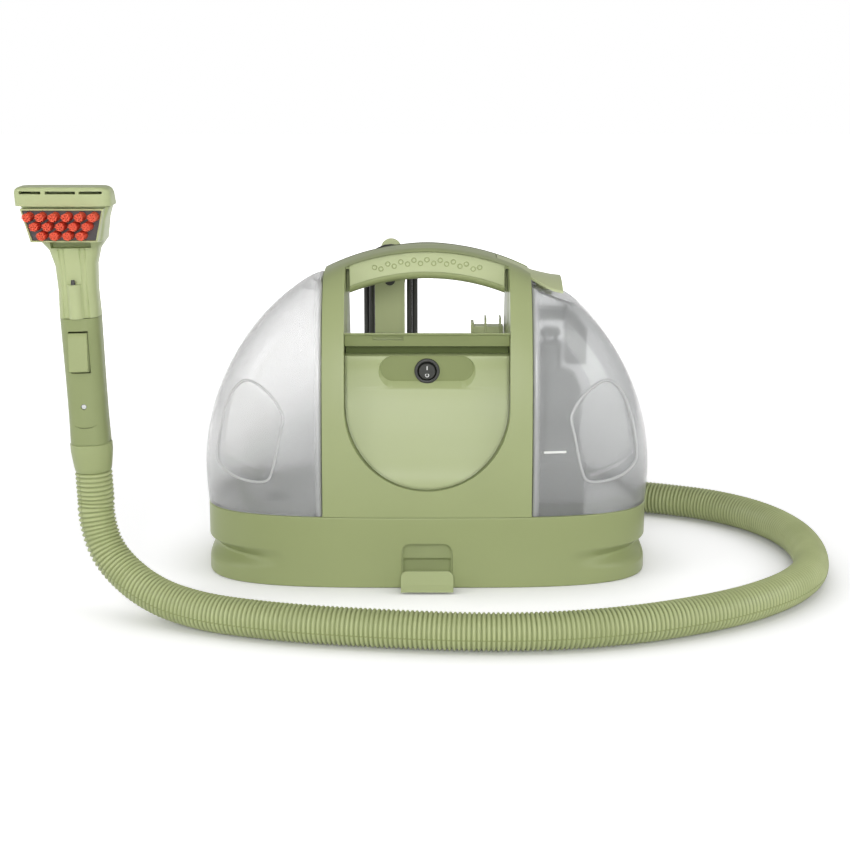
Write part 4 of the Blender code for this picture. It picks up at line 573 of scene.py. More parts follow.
# The hose clip is a separate moulded hook set in the front window: a stepped pocket,
# a floor and an upturned lip that the hose snaps behind.
clip_finish = sage_abs("moulded_abs_sage_clip", "#B0BA89")
clip = plate("hose_hook", rounded_top(*mm(24.2, 3.4, 44.2, 8)), *mm(-99, -76), "y")
cut(
    clip, plate("clip_pocket", rounded_top(*mm(23.4, 6.4, 43.4, 7.4)), *mm(-104, -89), "y"),
    plate("clip_step", rounded_top(*mm(22.6, 6.4, 26.6, 2)), *mm(-104, -79), "y"))
lip_side = [
    (-117.4, 2), (-120.7, 2), (-120.2, 3.4), (-121, 8.4), (-121, 10), (-119.6, 22.6), (-117.4, 22.6)]
lip = worked(
    plate("clip_lip", [mm(*point) for point in lip_side], *mm(-25, 25), "x"), "INTERSECT",
    plate("lip_shape", rounded_top(*mm(25, 1, 22.7, 6.5)), *mm(-125, -110), "y"))
join(clip, block("clip_floor", mm(-23.5, -118, 3.4), mm(23.5, -92, 6.4)), lip)
settle(clip, ["hose_clip"], clip_finish, 0.7 * MM)

# The motor, the fan and the pump stand on the bottom plate, out of sight.  They
# are plain bought-in parts: black nylon, drawn steel and clear vinyl tube.
nylon_finish = grained("moulded_nylon_black", 1.2, 2, "#2B2C29", "#373833", (0.34, 0.5), 0.12)
steel_finish = grained("zinc_plated_steel", 1.8, 3, "#A9ABAA", "#C6C8C6", (0.24, 0.4), more={"Metallic": 1})
grey_finish = grained("moulded_polypropylene_grey", 20, 3, "#B8BAB8", "#C6C8C6", (0.4, 0.52))
vinyl_finish = grained(
    "clear_vinyl_tube", 10, 2, "#D5DAD8", "#E4E8E6", more={"Roughness": 0.2, "Alpha": 0.55})


def dress(finish, *names):
    """Gives solids that are shown as they are their finish."""
    for name in names:
        frame["nodes"][name].data.materials.clear()
        frame["nodes"][name].data.materials.append(finish)


dress(nylon_finish, "fan_housing", "solution_pump")
dress(steel_finish, "motor_can", "motor_shaft")
dress(grey_finish, "fan_impeller", "intake_pipe", "valve_seat", "tank_valve")
dress(vinyl_finish, "pump_feed_tube", "pump_spray_tube")

# The centre housing is two ABS halves joined down the middle: two columns, the
# dome between the tanks and the arched handle that bridges them.  The front half
# is open in a horseshoe that takes the face panel.
BODY_LENGTH = 219 * MM
BODY_TOP = 319 * MM
BELLY = 105 * MM
HOUSING_HALF = 100 * MM
COLUMN_INNER = 79 * MM
PANEL_CENTRE = 175 * MM
HANDLE_HALF = 23 * MM
HANDLE_UNDER = 288 * MM
HANDLE_SAG = 208 * MM
HANDLE_ROUND = 7 * MM
REAR_WALL = 211 * MM
CUT_REACH = 170 * MM
LATCH_STATIONS = (
    (68, 13, 0.6, 0), (80, 14, 1, 0), (92, 18, 2.2, 0), (102, 25, 4.6, 0), (112, 32, 7, 291.8),
    (122, 38, 8.6, 289.6), (131, 40, 9.2, 288.6))
LATCH_WALL = 2.4 * MM


def half_length(z):
    if z <= BELLY:
        return BODY_LENGTH - 2 * MM * ((BELLY - z) / (BELLY - BASE_HEIGHT)) ** 2
    return BODY_LENGTH * math.sqrt(max(0, 1 - ((z - BELLY) / (BODY_TOP - BELLY)) ** 2))


def half_depth(z):
    share = min(1, max(0, (z - BASE_HEIGHT) / (BODY_TOP - BASE_HEIGHT)))
    return 20 * MM + (BODY_DEPTH - 20 * MM) * (1 - share ** 2.4) ** 0.62


def skin_depth(x, z):
    share = min(1, abs(x) / max(half_length(z), 1e-6))
    return half_depth(z) * (1 - share ** BODY_POWER) ** (1 / BODY_POWER)


def arch_height(x):
    return BELLY + (BODY_TOP - BELLY) * math.sqrt(1 - (x / BODY_LENGTH) ** 2)


def under_arc(x, lift=0):
    return HANDLE_UNDER + lift - HANDLE_SAG + math.sqrt(HANDLE_SAG ** 2 - x ** 2)


def housing_half(name, side, inset=0, top=None):
    rings = []
    low = BASE_HEIGHT + 0.4 * MM if top is None else BASE_HEIGHT - 6 * MM
    middle = side * 0.2 * MM if top is None else -side * 6 * MM
    shares = [1 - (1 - i / 44) ** 1.7 for i in range(44)] + [0.996]
    if top is not None:
        shares = [i / 14 for i in range(15)]
    for i in range(41):
        x = (HOUSING_HALF - inset) * (i / 20 - 1)
        high = arch_height(x) if top is None else top
        ring = [(x, middle, low)]
        for share in shares:
            z = low + (high - low) * share
            ring.append((x, side * (skin_depth(x, max(z, BASE_HEIGHT)) - inset), z))
        ring.append((x, middle, high))
        rings.append(ring)
    return skin(name, rings)


def horseshoe(half, low=None, rim=3 * MM):
    if low is None:
        bottom = arc((0, PANEL_CENTRE), half, math.pi, math.pi, 48)
    else:
        bottom = [(-half, low), (half, low)]
    across = [half * (1 - i / 16) for i in range(33)]
    return bottom + [(x, arch_height(x) - rim) for x in across]


quarter_turn = [math.pi / 2 * i / 6 for i in range(7)]
rounded_corner = [(1 - math.cos(t), 1 - math.sin(t)) for t in quarter_turn]


def hand_opening(name, low):
    rings = []
    half = COLUMN_INNER - 0.4 * MM
    line = [(-CUT_REACH, HANDLE_ROUND), (-HANDLE_HALF - 1 * MM, HANDLE_ROUND)]
    line += [(-HANDLE_HALF + 8 * MM * fall, HANDLE_ROUND * rise) for fall, rise in rounded_corner]
    line += [(-y, lift) for y, lift in reversed(line)]
    across = [half * (1 - i / 16) for i in range(33)]
    for y, lift in line:
        rings.append([(-half, y, low), (half, y, low)] + [(x, y, under_arc(x, lift)) for x in across])
    return skin(name, rings)


def between(rows, x):
    """Values at x from rows sorted by their first number."""
    for a, b in zip(rows, rows[1:]):
        if x <= b[0]:
            t = (x - a[0]) / (b[0] - a[0])
            return [p + (q - p) * t for p, q in zip(a, b)]
    return list(rows[-1])


def latch_rings(side_gap, lower, raise_top):
    stations = []
    for x, half, drop, top in LATCH_STATIONS:
        stations.append((x, half, drop, top or arch_height(x * MM) / MM))
    rings = []
    for i in range(43):
        x, half, drop, top = (v * MM for v in between(stations, 68 + 63 * i / 42))
        if i < 23:
            top = arch_height(x)
        if i == 0:
            x -= side_gap
        half += side_gap
        shares = [j / 12 - 1 for j in range(25)]
        upper = [(x, half * s, top - drop * s * s + raise_top) for s in shares]
        under = [(x, half * s, top - drop * s * s - LATCH_WALL - lower) for s in reversed(shares)]
        rings.append(upper + under)
    return rings


def shared_cuts():
    """Cutters for the latch's seat and the air port, which both halves have."""
    port = block("port", mm(90, -8, 247), mm(106, 8, 261))
    return skin("latch_seat", latch_rings(*mm(0.7, 0.6, 30))), port


housing_finish = sage_abs("moulded_abs_sage_housing", "#A6B07E")
front = housing_half("housing_front", -1)
void = cut(
    housing_half("void", -1, 3 * MM, 0.208),
    plate("return", horseshoe(COLUMN_INNER + 2.6 * MM, rim=-20 * MM), -CUT_REACH, -0.045, "y"))
cut(
    front, void, plate("opening", horseshoe(COLUMN_INNER), -CUT_REACH, -HANDLE_HALF, "y"),
    hand_opening("hand", PANEL_CENTRE), *shared_cuts())
SLOT_X = 77 * MM
slot = rounded_top(*mm(1.7, 255, 298.5, 1.6))
for side in (-1, 1):
    cut(front, plate("finger_slot", [(side * SLOT_X + x, z) for x, z in slot], *mm(-60, -4), "y"))
settle(front, ["front_housing"], housing_finish, 0.9 * MM)
rear = housing_half("housing_rear", 1)
cut(
    rear, housing_half("void", 1, 3 * MM, 0.206),
    plate("opening", horseshoe(COLUMN_INNER, REAR_WALL), HANDLE_HALF, CUT_REACH, "y"),
    hand_opening("hand", REAR_WALL), *shared_cuts())
VENT_COUNT = 7
VENT_PITCH = 10 * MM
VENT_LOW = 98 * MM
VENT_SIZE = Matrix.Diagonal((*mm(70, 60, 4), 1))
vents = bmesh.new()
for i in range(VENT_COUNT):
    place = Matrix.Translation((40 * MM, 100 * MM, VENT_LOW + VENT_PITCH * i))
    bmesh.ops.create_cube(vents, size=1, matrix=place @ VENT_SIZE)
cut(rear, from_bmesh("vents", vents))
settle(rear, ["rear_housing"], housing_finish, 0.9 * MM)

# The face panel is a curved ABS plate clipped into the horseshoe.  Its top turns back
# under the deck, and a chamfered hollow takes the switch; a darker inlay on its floor is painted shade.
PANEL_PROFILE = (
    (93, 99), (110, 95.5), (130, 88), (155, 79), (180, 71.5), (205, 67), (216, 66.1), (220, 65.6),
    (221.4, 64.6), (221.9, 62), (221.9, 57))
PANEL_REACH = 85 * MM
SWITCH_Z = 206 * MM
panel_finish = sage_abs("moulded_abs_sage_panel", "#ABB583")
panel_line, _ = eased_line([Vector((0, -y, z)) * MM for z, y in PANEL_PROFILE], 3 * MM)
panel_back = [(p.y + 6 * MM, p.z - min(3 * MM, max(0, p.z - 0.212))) for p in reversed(panel_line)]
panel_side = [(p.y, p.z) for p in panel_line] + panel_back
panel = plate("face_plate", panel_side, -PANEL_REACH, PANEL_REACH, "x")
worked(panel, "INTERSECT", plate("limit", horseshoe(COLUMN_INNER - 2.8 * MM), -CUT_REACH, 0, "y"))
flange_line = [(p.y + 3.2 * MM, p.z - 0.5 * MM) for p in panel_line]
flange_line += [(y + 0.3 * MM, z) for y, z in panel_back]
flange = plate("flange", flange_line, -PANEL_REACH, PANEL_REACH, "x")
worked(flange, "INTERSECT", plate("limit", horseshoe(COLUMN_INNER - 0.4 * MM), -CUT_REACH, 0, "y"))
join(panel, flange)
PILL_HALF = 32.5
pill_rings = []
for y, radius, rise in ((-170, 15.8, 0), (-69.6, 15.8, 0), (-64.2, 12.2, 2.4)):
    ring = arc((PILL_HALF, rise), radius, -math.pi / 2, math.pi, 20)
    ring += arc((-PILL_HALF, rise), radius, math.pi / 2, math.pi, 20)
    pill_rings.append([(x * MM, y * MM, SWITCH_Z + up * MM) for x, up in ring])
join(panel, block("pill_back", mm(-50, -64, 186), mm(50, -53, 221)))
cut(panel, skin("pill", pill_rings))
join(panel, peg("switch_boss", (0, -64 * MM, SWITCH_Z), (0, -53.5 * MM, SWITCH_Z), 11.4 * MM))
cut(panel, peg("hole", (0, -0.1, SWITCH_Z), (0, -0.04, SWITCH_Z), 10.55 * MM))
settle(panel, ["face_panel"], panel_finish, 0.5 * MM)
# A thin inlay in a darker sage lies on the hollow's floor: painted shade.
hollow = plate("painted_shade_switch_hollow", [(x, z) for x, y, z in pill_rings[-1]], *mm(-64.45, -63.9), "y")
cut(hollow, peg("hole", (0, -0.1, SWITCH_Z), (0, -0.04, SWITCH_Z), 10.6 * MM))
settle(hollow, [], sage_abs("painted_shade_abs_sage_hollow", "#8B9562", 0.5), 0)

# A dark plate stands in the slot between the panel's top edge and the deck above it: painted shade.
shade_sill = block("painted_shade_sill", mm(-78, -56, 219.5), mm(78, -53.5, 238))
settle(shade_sill, [], sage_abs("painted_shade_abs_sage_sill", "#5E6B38", 0.6), 0)

# The top deck is a thin sloping shelf under the handle with a lip at the front.  It is coloured
# darker than the housing as painted shade under the handle.
DECK_SLOPE = 29 / 158.5
DECK_FRONT = -76.5
DECK_HIGH = 245


def deck_height(y):
    return (DECK_HIGH - DECK_SLOPE * (y - DECK_FRONT)) * MM


deck_line = [
    (DECK_FRONT, DECK_HIGH), (DECK_FRONT, 243), (-74, 242.4), (-70.5, 231), (-67.5, 231),
    (-69.5, DECK_HIGH - 4 - DECK_SLOPE * 7), (82, 213), (82, 216)]
deck = plate("handle_deck", [mm(*point) for point in deck_line], *mm(-78.6, 78.6), "x")
cut(deck, block("finger_notch", mm(-51.5, -80, 237.4), mm(-22.5, -70, 240.6)))
settle(deck, ["top_deck"], sage_abs("painted_shade_abs_sage_deck", "#8F9968"), 0.6 * MM)

# A thin pale ABS plate lies on each side of the handle.  The front one has a zigzag
# of seventeen small moulded rings for grip.
RING_PLACES = (
    (-50.8, 300), (-44.7, 298.5), (-38, 303.3), (-31.8, 301.2), (-25.4, 305.4), (-18.9, 303.3),
    (-12.7, 307), (-6.4, 304), (0, 307.5), (6.4, 304), (12.7, 307), (18.9, 303.3), (25.4, 305.4),
    (31.8, 301.2), (38, 303.3), (44.7, 298.5), (50.8, 300))
inset_finish = sage_abs("moulded_abs_sage_inset", "#C2CB9D", 0.44)
INSET_FACE = 24.6
INSET_BACK = 23.3
plate_half = COLUMN_INNER - 4 * MM
across = [plate_half * (i / 24 - 1) for i in range(49)]
inset = [(x, under_arc(x, HANDLE_ROUND + 0.8 * MM)) for x in across]
inset += [(x, arch_height(x) - 4 * MM) for x in reversed(across)]
front_inset = plate("handle_inset_front", inset, *mm(-INSET_FACE, -INSET_BACK), "y")
rear_inset = plate("handle_inset_rear", inset, *mm(INSET_BACK, INSET_FACE), "y")
settle(front_inset, ["handle_grip_front"], inset_finish, 0.4 * MM)
settle(rear_inset, ["handle_grip_rear"], inset_finish, 0.4 * MM)
rings_tree, given = new_tree("grip_rings", Ring_Radius="Float", Bead_Radius="Float", Finish="Material")
loop = add(
    rings_tree, "GeometryNodeCurvePrimitiveCircle", {"Resolution": 24, "Radius": given["Ring Radius"]})
bead = add(
    rings_tree, "GeometryNodeCurvePrimitiveCircle", {"Resolution": 8, "Radius": given["Bead Radius"]})
torus = add(rings_tree, "GeometryNodeCurveToMesh", {"Curve": loop, "Profile Curve": bead})
upright = add(rings_tree, "GeometryNodeTransform", {"Geometry": torus, "Rotation": (math.pi / 2, 0, 0)})
spread = add(rings_tree, "GeometryNodeInstanceOnPoints", {"Points": given["Geometry"], "Instance": upright})
whole = add(rings_tree, "GeometryNodeRealizeInstances", {"Geometry": spread})
smooth = add(rings_tree, "GeometryNodeSetShadeSmooth", {"Geometry": whole})
painted = add(rings_tree, "GeometryNodeSetMaterial", {"Geometry": smooth, "Material": given["Finish"]})
add(rings_tree, "NodeGroupOutput", {"Geometry": painted})
spots = bmesh.new()
for x, z in RING_PLACES:
    spots.verts.new(mm(x, -INSET_FACE, z))
# The rings are a darker sage than the plate they sit on: painted shade, as in small dimples.
grip_rings = run_tree(
    from_bmesh("spots", spots), rings_tree, "grip_rings", Ring_Radius=2.1 * MM, Bead_Radius=0.5 * MM,
    Finish=sage_abs("painted_shade_abs_sage_rings", "#A6B07E"))
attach(grip_rings, "machine")

# The power switch is a bought-in round rocker: a black nylon bezel that snaps
# into the panel and a rocker with the usual line and circle.
SWITCH_FRONT = -66.5 * MM
SWITCH_FACE = Matrix.Translation((0, SWITCH_FRONT, SWITCH_Z)) @ Matrix.Rotation(math.pi / 2, 4, "X")
BEZEL_LINE = [
    (9.25, -0.2), (9.7, 0), (11.2, 0), (11.9, -0.4), (12.2, -1.1), (12.2, -2.4), (10.2, -2.4),
    (10.2, -12), (9.25, -12)]
settle(
    lathe("switch_ring", BEZEL_LINE, SWITCH_FACE), ["switch_bezel"], nylon_finish, 0)
rocker_rings = []
ROCKER_ROWS = (
    (1.7, 0.3), (1.68, 0.7), (1.6, 0.84), (1.3, 0.875), (-0.6, 0.94), (-2.5, 0.985), (-4.5, 0.93),
    (-6, 0.87))
for height, scale in ROCKER_ROWS:
    radius = 8.9 * MM * scale
    tilt = 0.08 if height > 0 else 0
    ring = arc((0, 0), radius, 0, 2 * math.pi, 64)[:-1]
    rocker_rings.append([(x, SWITCH_FRONT - height * MM - tilt * up, SWITCH_Z + up) for x, up in ring])
settle(
    skin("rocker", rocker_rings), ["power_rocker"], nylon_finish, 0, body="power_rocker")
mark_finish = grained("pad_printed_white", 3, 2, "#E9EAE6", "#FAFBF8", more={"Roughness": 0.45})
on_line = block(
    "switch_on_line", (-0.45 * MM, -68.75 * MM, SWITCH_Z + 1.6 * MM),
    (0.45 * MM, -68.2 * MM, SWITCH_Z + 5.4 * MM))
settle(on_line, [], mark_finish, 0.1 * MM, body="power_rocker")
off_ring = lathe(
    "switch_off_ring", [(1.25, 0), (1.95, 0), (1.95, -0.5), (1.25, -0.5)],
    Matrix.Translation((0, -68 * MM, SWITCH_Z - 3.6 * MM)) @ Matrix.Rotation(math.pi / 2, 4, "X"), 32)
settle(off_ring, [], mark_finish, 0, body="power_rocker")

# The two tanks are injection-moulded shells that lift off the base.  Each has a
# finger recess in its front with a raised rim.  The clean one is frosted clear, with
# its filling cap underneath.
TANK_TOP = 289 * MM
TANK_WALL = 2.5 * MM
TANK_BEND = 3.4 * MM
TANK_SKIRT = 5.2 * MM
RECESS_ROWS = ((-60, 1.12), (-1, 1.02), (1.5, 0.985), (4, 0.95), (6.5, 0.9), (8.2, 0.84), (9, 0.76))
RECESS_CENTRE = Vector((-168, 0, 153)) * MM
RECESS_GROW = 1.1
RECESS_SPREAD = 12
RECESS_LEAN = (-0.52, 0.1)
GRIP_OUTLINE = (
    (-177, 200), (-168, 199), (-148, 186), (-136, 171), (-135, 163), (-140, 149), (-148, 117),
    (-156, 106), (-180, 110), (-197, 118), (-201, 127), (-197, 156), (-191, 181), (-183, 195))


def clear_shell(name, pale, shade_tone, clearness, roughness):
    """Clear copolyester, injection-moulded: glossy outside and faint flow marks; painted shade darkens it
    toward the foot and the inner edge, where it is also less clear."""
    made, tree, shader = blank_material(name)
    place = add(tree, "ShaderNodeTexCoord").outputs["Object"]
    flow = add(tree, "ShaderNodeTexNoise", {"Vector": place, "Scale": 1 / 0.05, "Detail": 2})
    where = add(tree, "ShaderNodeSeparateXYZ", {"Vector": place})
    side = add(tree, "ShaderNodeMath", {0: where.outputs["X"]}, operation="ABSOLUTE")
    level = add(tree, "ShaderNodeMath", {0: side, 1: 0.78, 2: where.outputs["Z"]}, operation="MULTIPLY_ADD")
    # Painted shade: the colour darkens toward the foot and the inner edge.
    rise = add(tree, "ShaderNodeMapRange", {"Value": level, "From Min": 0.205, "From Max": 0.29})
    tone = add(tree, "ShaderNodeMix", {0: rise, 6: linear(shade_tone), 7: linear(pale)}, data_type="RGBA")
    gloss = add(
        tree, "ShaderNodeMapRange", {"Value": flow, "To Min": roughness * 0.8, "To Max": roughness * 1.3})
    bump = add(tree, "ShaderNodeBump", {"Height": flow, "Strength": 0.03, "Distance": 0.002})
    edge = add(
        tree, "ShaderNodeMapRange",
        {
            "Value": side, "From Min": TANK_START, "From Max": TANK_START + 8 * MM, "To Min": 0.35,
            "To Max": clearness})
    feed(
        shader,
        {"Base Color": tone, "Roughness": gloss, "Normal": bump, "Transmission Weight": edge, "IOR": 1.52})
    return made


def tank_ring(side, z, inset, skirt=0):
    inset += skirt
    ends = half_length(z) - inset, half_depth(max(z, BASE_HEIGHT)) - inset
    line = end_outline(*ends, TANK_START + inset, 28)
    depth, bend = -line[0][1], max(0.5 * MM, TANK_BEND - inset)
    bend = min(bend, depth * 0.4, (ends[0] - line[0][0]) * 0.3)
    corner = [(line[0][0] + bend * fall, -depth + bend * rise) for fall, rise in rounded_corner]
    rest = end_outline(*ends, TANK_START + inset + bend, 28)
    corner = [(x, y * -rest[0][1] / depth) for x, y in corner]
    return [(side * x, y, z) for x, y in corner[:-1] + rest + [(x, -y) for x, y in reversed(corner[:-1])]]


grip_line, _ = eased_line([Vector((x, 0, z)) * MM for x, z in GRIP_OUTLINE + GRIP_OUTLINE[:1]], 3 * MM)
grip_line = grip_line[:-1]


def recess_rings(side, offset):
    centre = RECESS_CENTRE
    face = -skin_depth(centre.x, centre.z)
    rings = []
    for depth, scale in RECESS_ROWS:
        size = scale * RECESS_GROW + offset * RECESS_SPREAD
        ring = []
        for p in grip_line:
            x = centre.x + (p.x - centre.x) * size
            z = centre.z + (p.z - centre.z) * size
            lean = (x - centre.x) * RECESS_LEAN[0] + (z - centre.z) * RECESS_LEAN[1]
            y = -CUT_REACH if depth < -10 else face + lean + depth * MM + offset
            ring.append((-side * x, y, z))
        rings.append(ring)
    return rings


def finger_recess(name, side, offset):
    return skin(name, recess_rings(side, offset))


def recess_rim(name, side, radius, sides=10):
    edge = []
    for line in zip(*recess_rings(side, 0)):
        gaps = [y + skin_depth(x, z) for x, y, z in line]
        k = next(k for k, gap in enumerate(gaps) if gap >= 0)
        edge.append(Vector(line[k - 1]).lerp(Vector(line[k]), gaps[k - 1] / (gaps[k - 1] - gaps[k])))
    rings = []
    for i, p in enumerate(edge):
        along = (edge[(i + 1) % len(edge)] - edge[i - 1]).normalized()
        out = along.cross(Vector((0, 1, 0))).normalized()
        up = along.cross(out)
        turns = [2 * math.pi * j / sides for j in range(sides)]
        rings.append([p + (out * math.cos(t) + up * math.sin(t)) * radius for t in turns])
    return skin(name, rings, looped=True)


def tank_shell(name, side):
    levels = [71 + 5.6 * i for i in range(38)] + [281]
    rings = [tank_ring(side, z * MM, 0, TANK_SKIRT) for z in (63.4, 70.4)]
    rings += [tank_ring(side, z * MM, 0) for z in [70.8] + levels]
    rings += [tank_ring(side, *mm(z, inset)) for z, inset in ((285, 0.2), (287.3, 0.9))]
    rings.append(tank_ring(side, TANK_TOP, 2.4 * MM))
    hollow = [tank_ring(side, z * MM, TANK_WALL, TANK_SKIRT) for z in (65.9, 72.5)]
    hollow += [tank_ring(side, z * MM, TANK_WALL) for z in [73.5] + levels[1:]]
    hollow.append(tank_ring(side, TANK_TOP - TANK_WALL, TANK_WALL + 1.6 * MM))
    inside = cut(skin(name + "_inside", hollow), finger_recess("grip_inside", side, TANK_WALL))
    return skin(name, rings), inside


clear_finish = clear_shell("clear_copolyester", "#FFFFFF", "#DCDDDD", 0.84, 0.22)
clean, inside = tank_shell("clean_shell", -1)
join(clean, peg("neck", (CAP_X, 0, 0.055), (CAP_X, 0, 0.065), 17 * MM))
cut(
    clean, finger_recess("recess", -1, 0), inside,
    peg("bore", (CAP_X, 0, 0.049), (CAP_X, 0, 0.069), 13.5 * MM))
settle(clean, ["clean_tank"], clear_finish, 1.2 * MM, body="clean_tank")
# The rim is paler and less clear than the shell: a painted highlight along the recess edge.
settle(
    recess_rim("clean_rim", -1, 1.3 * MM), [],
    clear_shell("clear_copolyester_rim_painted_highlight", "#FFFFFF", "#F2F3F3", 0.5, 0.22), 0, body="clean_tank")
CAP_LINE = [
    (17.35, 62.4), (19.6, 62.4), (20.5, 61.4), (20.5, 52.8), (19.7, 52), (4.6, 52), (4.6, 54.6),
    (17.35, 54.6)]
cap = lathe("filling_cap", CAP_LINE, Matrix.Translation((CAP_X, 0, 0)))
settle(cap, ["clean_tank_cap"], grey_finish, 0, body="clean_tank")

# The dirty tank is the same shell in smoked plastic.  Its top is sloped away under
# the latch, and a grey stack with its cap, an air duct and a float stand inside.
smoked_finish = clear_shell("smoked_copolyester", "#E8E9E9", "#DADBDB", 0.82, 0.16)


def sloped_relief(name, lower):
    ends = [(x, 284.5 * MM - (x - 98 * MM) * 0.414 - lower) for x in (0.09, 0.16)]
    return plate(name, ends + [(0.16, 0.325), (0.09, 0.325)], -0.107, 0.107, "y")


dirty, inside = tank_shell("dirty_shell", 1)
cut(
    inside, sloped_relief("relief_inside", TANK_WALL * 1.1),
    block("notch_inside", mm(0, -16.5, 273), mm(121.5, 16.5, 319)))
cut(
    dirty, sloped_relief("relief", 0), block("notch", mm(0, -14, 275.5), mm(119, 14, 319)),
    finger_recess("recess", 1, 0), inside,
    peg("intake", (INTAKE_X, 0, 0.057), (INTAKE_X, 0, 0.069), 12.5 * MM),
    block("port", mm(94.6, -7, 248), mm(104.6, 7, 260)))
settle(dirty, ["dirty_tank"], smoked_finish, 1.2 * MM, body="dirty_tank")
# The rim is paler and less clear than the shell: a painted highlight along the recess edge.
settle(
    recess_rim("dirty_rim", 1, 1.5 * MM), [],
    clear_shell("smoked_copolyester_rim_painted_highlight", "#F6F7F7", "#ECEDED", 0.5, 0.16), 0, body="dirty_tank")
stack = join(
    block("stack_box", mm(109.6, -30, 66.3), mm(156, 30, 107)),
    peg("stack_tube", (INTAKE_X, 0, 0.0673), (INTAKE_X, 0, 0.221), 11.7 * MM))
STACK_WALL = ((122, 100), (150, 100), (152.5, 178), (147, 190), (137, 196), (122, 196))
join(stack, plate("stack_wall", [mm(*point) for point in STACK_WALL], *mm(-12.5, 12.5), "y"))
cut(stack, peg("stack_bore", (INTAKE_X, 0, 0.060), (INTAKE_X, 0, 0.227), 9.5 * MM))
settle(stack, ["separator_stack"], grey_finish, 1.2 * MM, body="dirty_tank")
dress(grey_finish, "separator_cap", "outlet_duct", "tank_float")

# The fill line is a white pad-printed bar on the front of the dirty tank.
BAR_LEFT = 111 * MM
BAR_LENGTH = 21.5 * MM
BAR_EDGES = mm(132.2, 134.4)
BAR_BACK = 0.05 * MM
BAR_FACE = 0.3 * MM
bar_low, bar_high = BAR_EDGES
bar_corners = ((bar_low, BAR_BACK), (bar_high, BAR_BACK), (bar_high, BAR_FACE), (bar_low, BAR_FACE))
along_bar = [BAR_LEFT + BAR_LENGTH * i / 12 for i in range(13)]
bar_rings = [[(x, -skin_depth(x, z) - lift, z) for z, lift in bar_corners] for x in along_bar]
settle(skin("fill_bar", bar_rings), [], mark_finish, 0, body="dirty_tank")

# The tank latch is a hooded ABS lever on the dirty tank.  Its tongue lies flush in
# the arch, and it turns on a steel pin between two ears.
latch_finish = sage_abs("moulded_abs_sage_latch", "#C8D0A2")
PIVOT = Vector((111, 0, 284.6)) * MM
latch = skin("latch_hood", latch_rings(0, 0, 0))
knuckle_end = Vector(mm(0, 7, 0))
join(latch, peg("knuckle", PIVOT - knuckle_end, PIVOT + knuckle_end, 5.6 * MM))
bore_end = Vector(mm(0, 20, 0))
cut(latch, peg("latch_bore", PIVOT - bore_end, PIVOT + bore_end, 1.55 * MM, sides=24))
settle(latch, ["tank_latch"], latch_finish, 0.5 * MM, body="tank_latch")
dress(latch_finish, "latch_mount")
dress(steel_finish, "latch_pin")

# The cord wrap is a flat post on the deck with a turning hook at its top and a
# fixed hook on the rear wall, all ABS.  A small cradle beside it parks the tool.
# This sage is paler than the housing's: painted light on parts that sit in shade behind the handle.
painted_light_gear_finish = sage_abs("painted_light_abs_sage_gear", "#C6CE9F")
DRUM_END = CORD_FIRST + CORD_PITCH * 6 + CORD_RADIUS + 2 * MM
POST_HALF = 15.2 * MM
PADDLE_HALF = 11 * MM
post_low = deck_height(69) + 0.4 * MM
post_line = [(CORD_X - POST_HALF, post_low), (CORD_X + POST_HALF, post_low)]
post_line += arc((CORD_X, CORD_HIGH), POST_HALF, 0, math.pi, 32)
post = plate("cord_post_plate", post_line, *mm(69, 75.5), "y")
cut(post, peg("post_bore", (CORD_X, 0.06, CORD_HIGH), (CORD_X, 0.09, CORD_HIGH), 3.35 * MM))
settle(post, ["cord_post"], painted_light_gear_finish, 1.2 * MM)


def paddle(name, height, up):
    line = arc((0, 21 * MM), PADDLE_HALF, 0, math.pi, 24)
    line += [(-PADDLE_HALF, -8 * MM), (PADDLE_HALF, -8 * MM)]
    line = [(CORD_X + x, height + up * z) for x, z in line]
    return plate(name, line, DRUM_END - 1 * MM, DRUM_END + 4 * MM, "y")


upper = join(
    peg("hook_upper", (CORD_X, 75.9 * MM, CORD_HIGH), (CORD_X, DRUM_END, CORD_HIGH), DRUM_RADIUS),
    paddle("upper_paddle", CORD_HIGH, 1))
cut(upper, peg("hook_bore", (CORD_X, 0.069, CORD_HIGH), (CORD_X, 0.0895, CORD_HIGH), 3.35 * MM))
settle(upper, ["cord_hook_upper"], painted_light_gear_finish, 1 * MM, body="cord_hook")
lower = join(
    peg("hook_lower", (CORD_X, 101.4 * MM, CORD_LOW), (CORD_X, DRUM_END, CORD_LOW), DRUM_RADIUS),
    paddle("lower_paddle", CORD_LOW, -1))
settle(lower, ["cord_hook_lower"], painted_light_gear_finish, 1 * MM)
# The hook screw is steel, but it gets the black nylon finish: painted shade where the handle's shadow hides
# it.
dress(nylon_finish, "hook_screw")
cradle_low = deck_height(62) + 0.4 * MM
cradle = block("cradle", (45 * MM, 62 * MM, cradle_low), (78 * MM, 78 * MM, cradle_low + 7 * MM))
for x, wide, high in ((45, 3, 231), (59, 1.8, 236), (74, 1.8, 236)):
    join(
        cradle,
        block("fin", (x * MM, 61 * MM, cradle_low + 1 * MM), ((x + wide) * MM, 80 * MM, high * MM)))
settle(cradle, ["tool_cradle"], painted_light_gear_finish, 0.5 * MM)

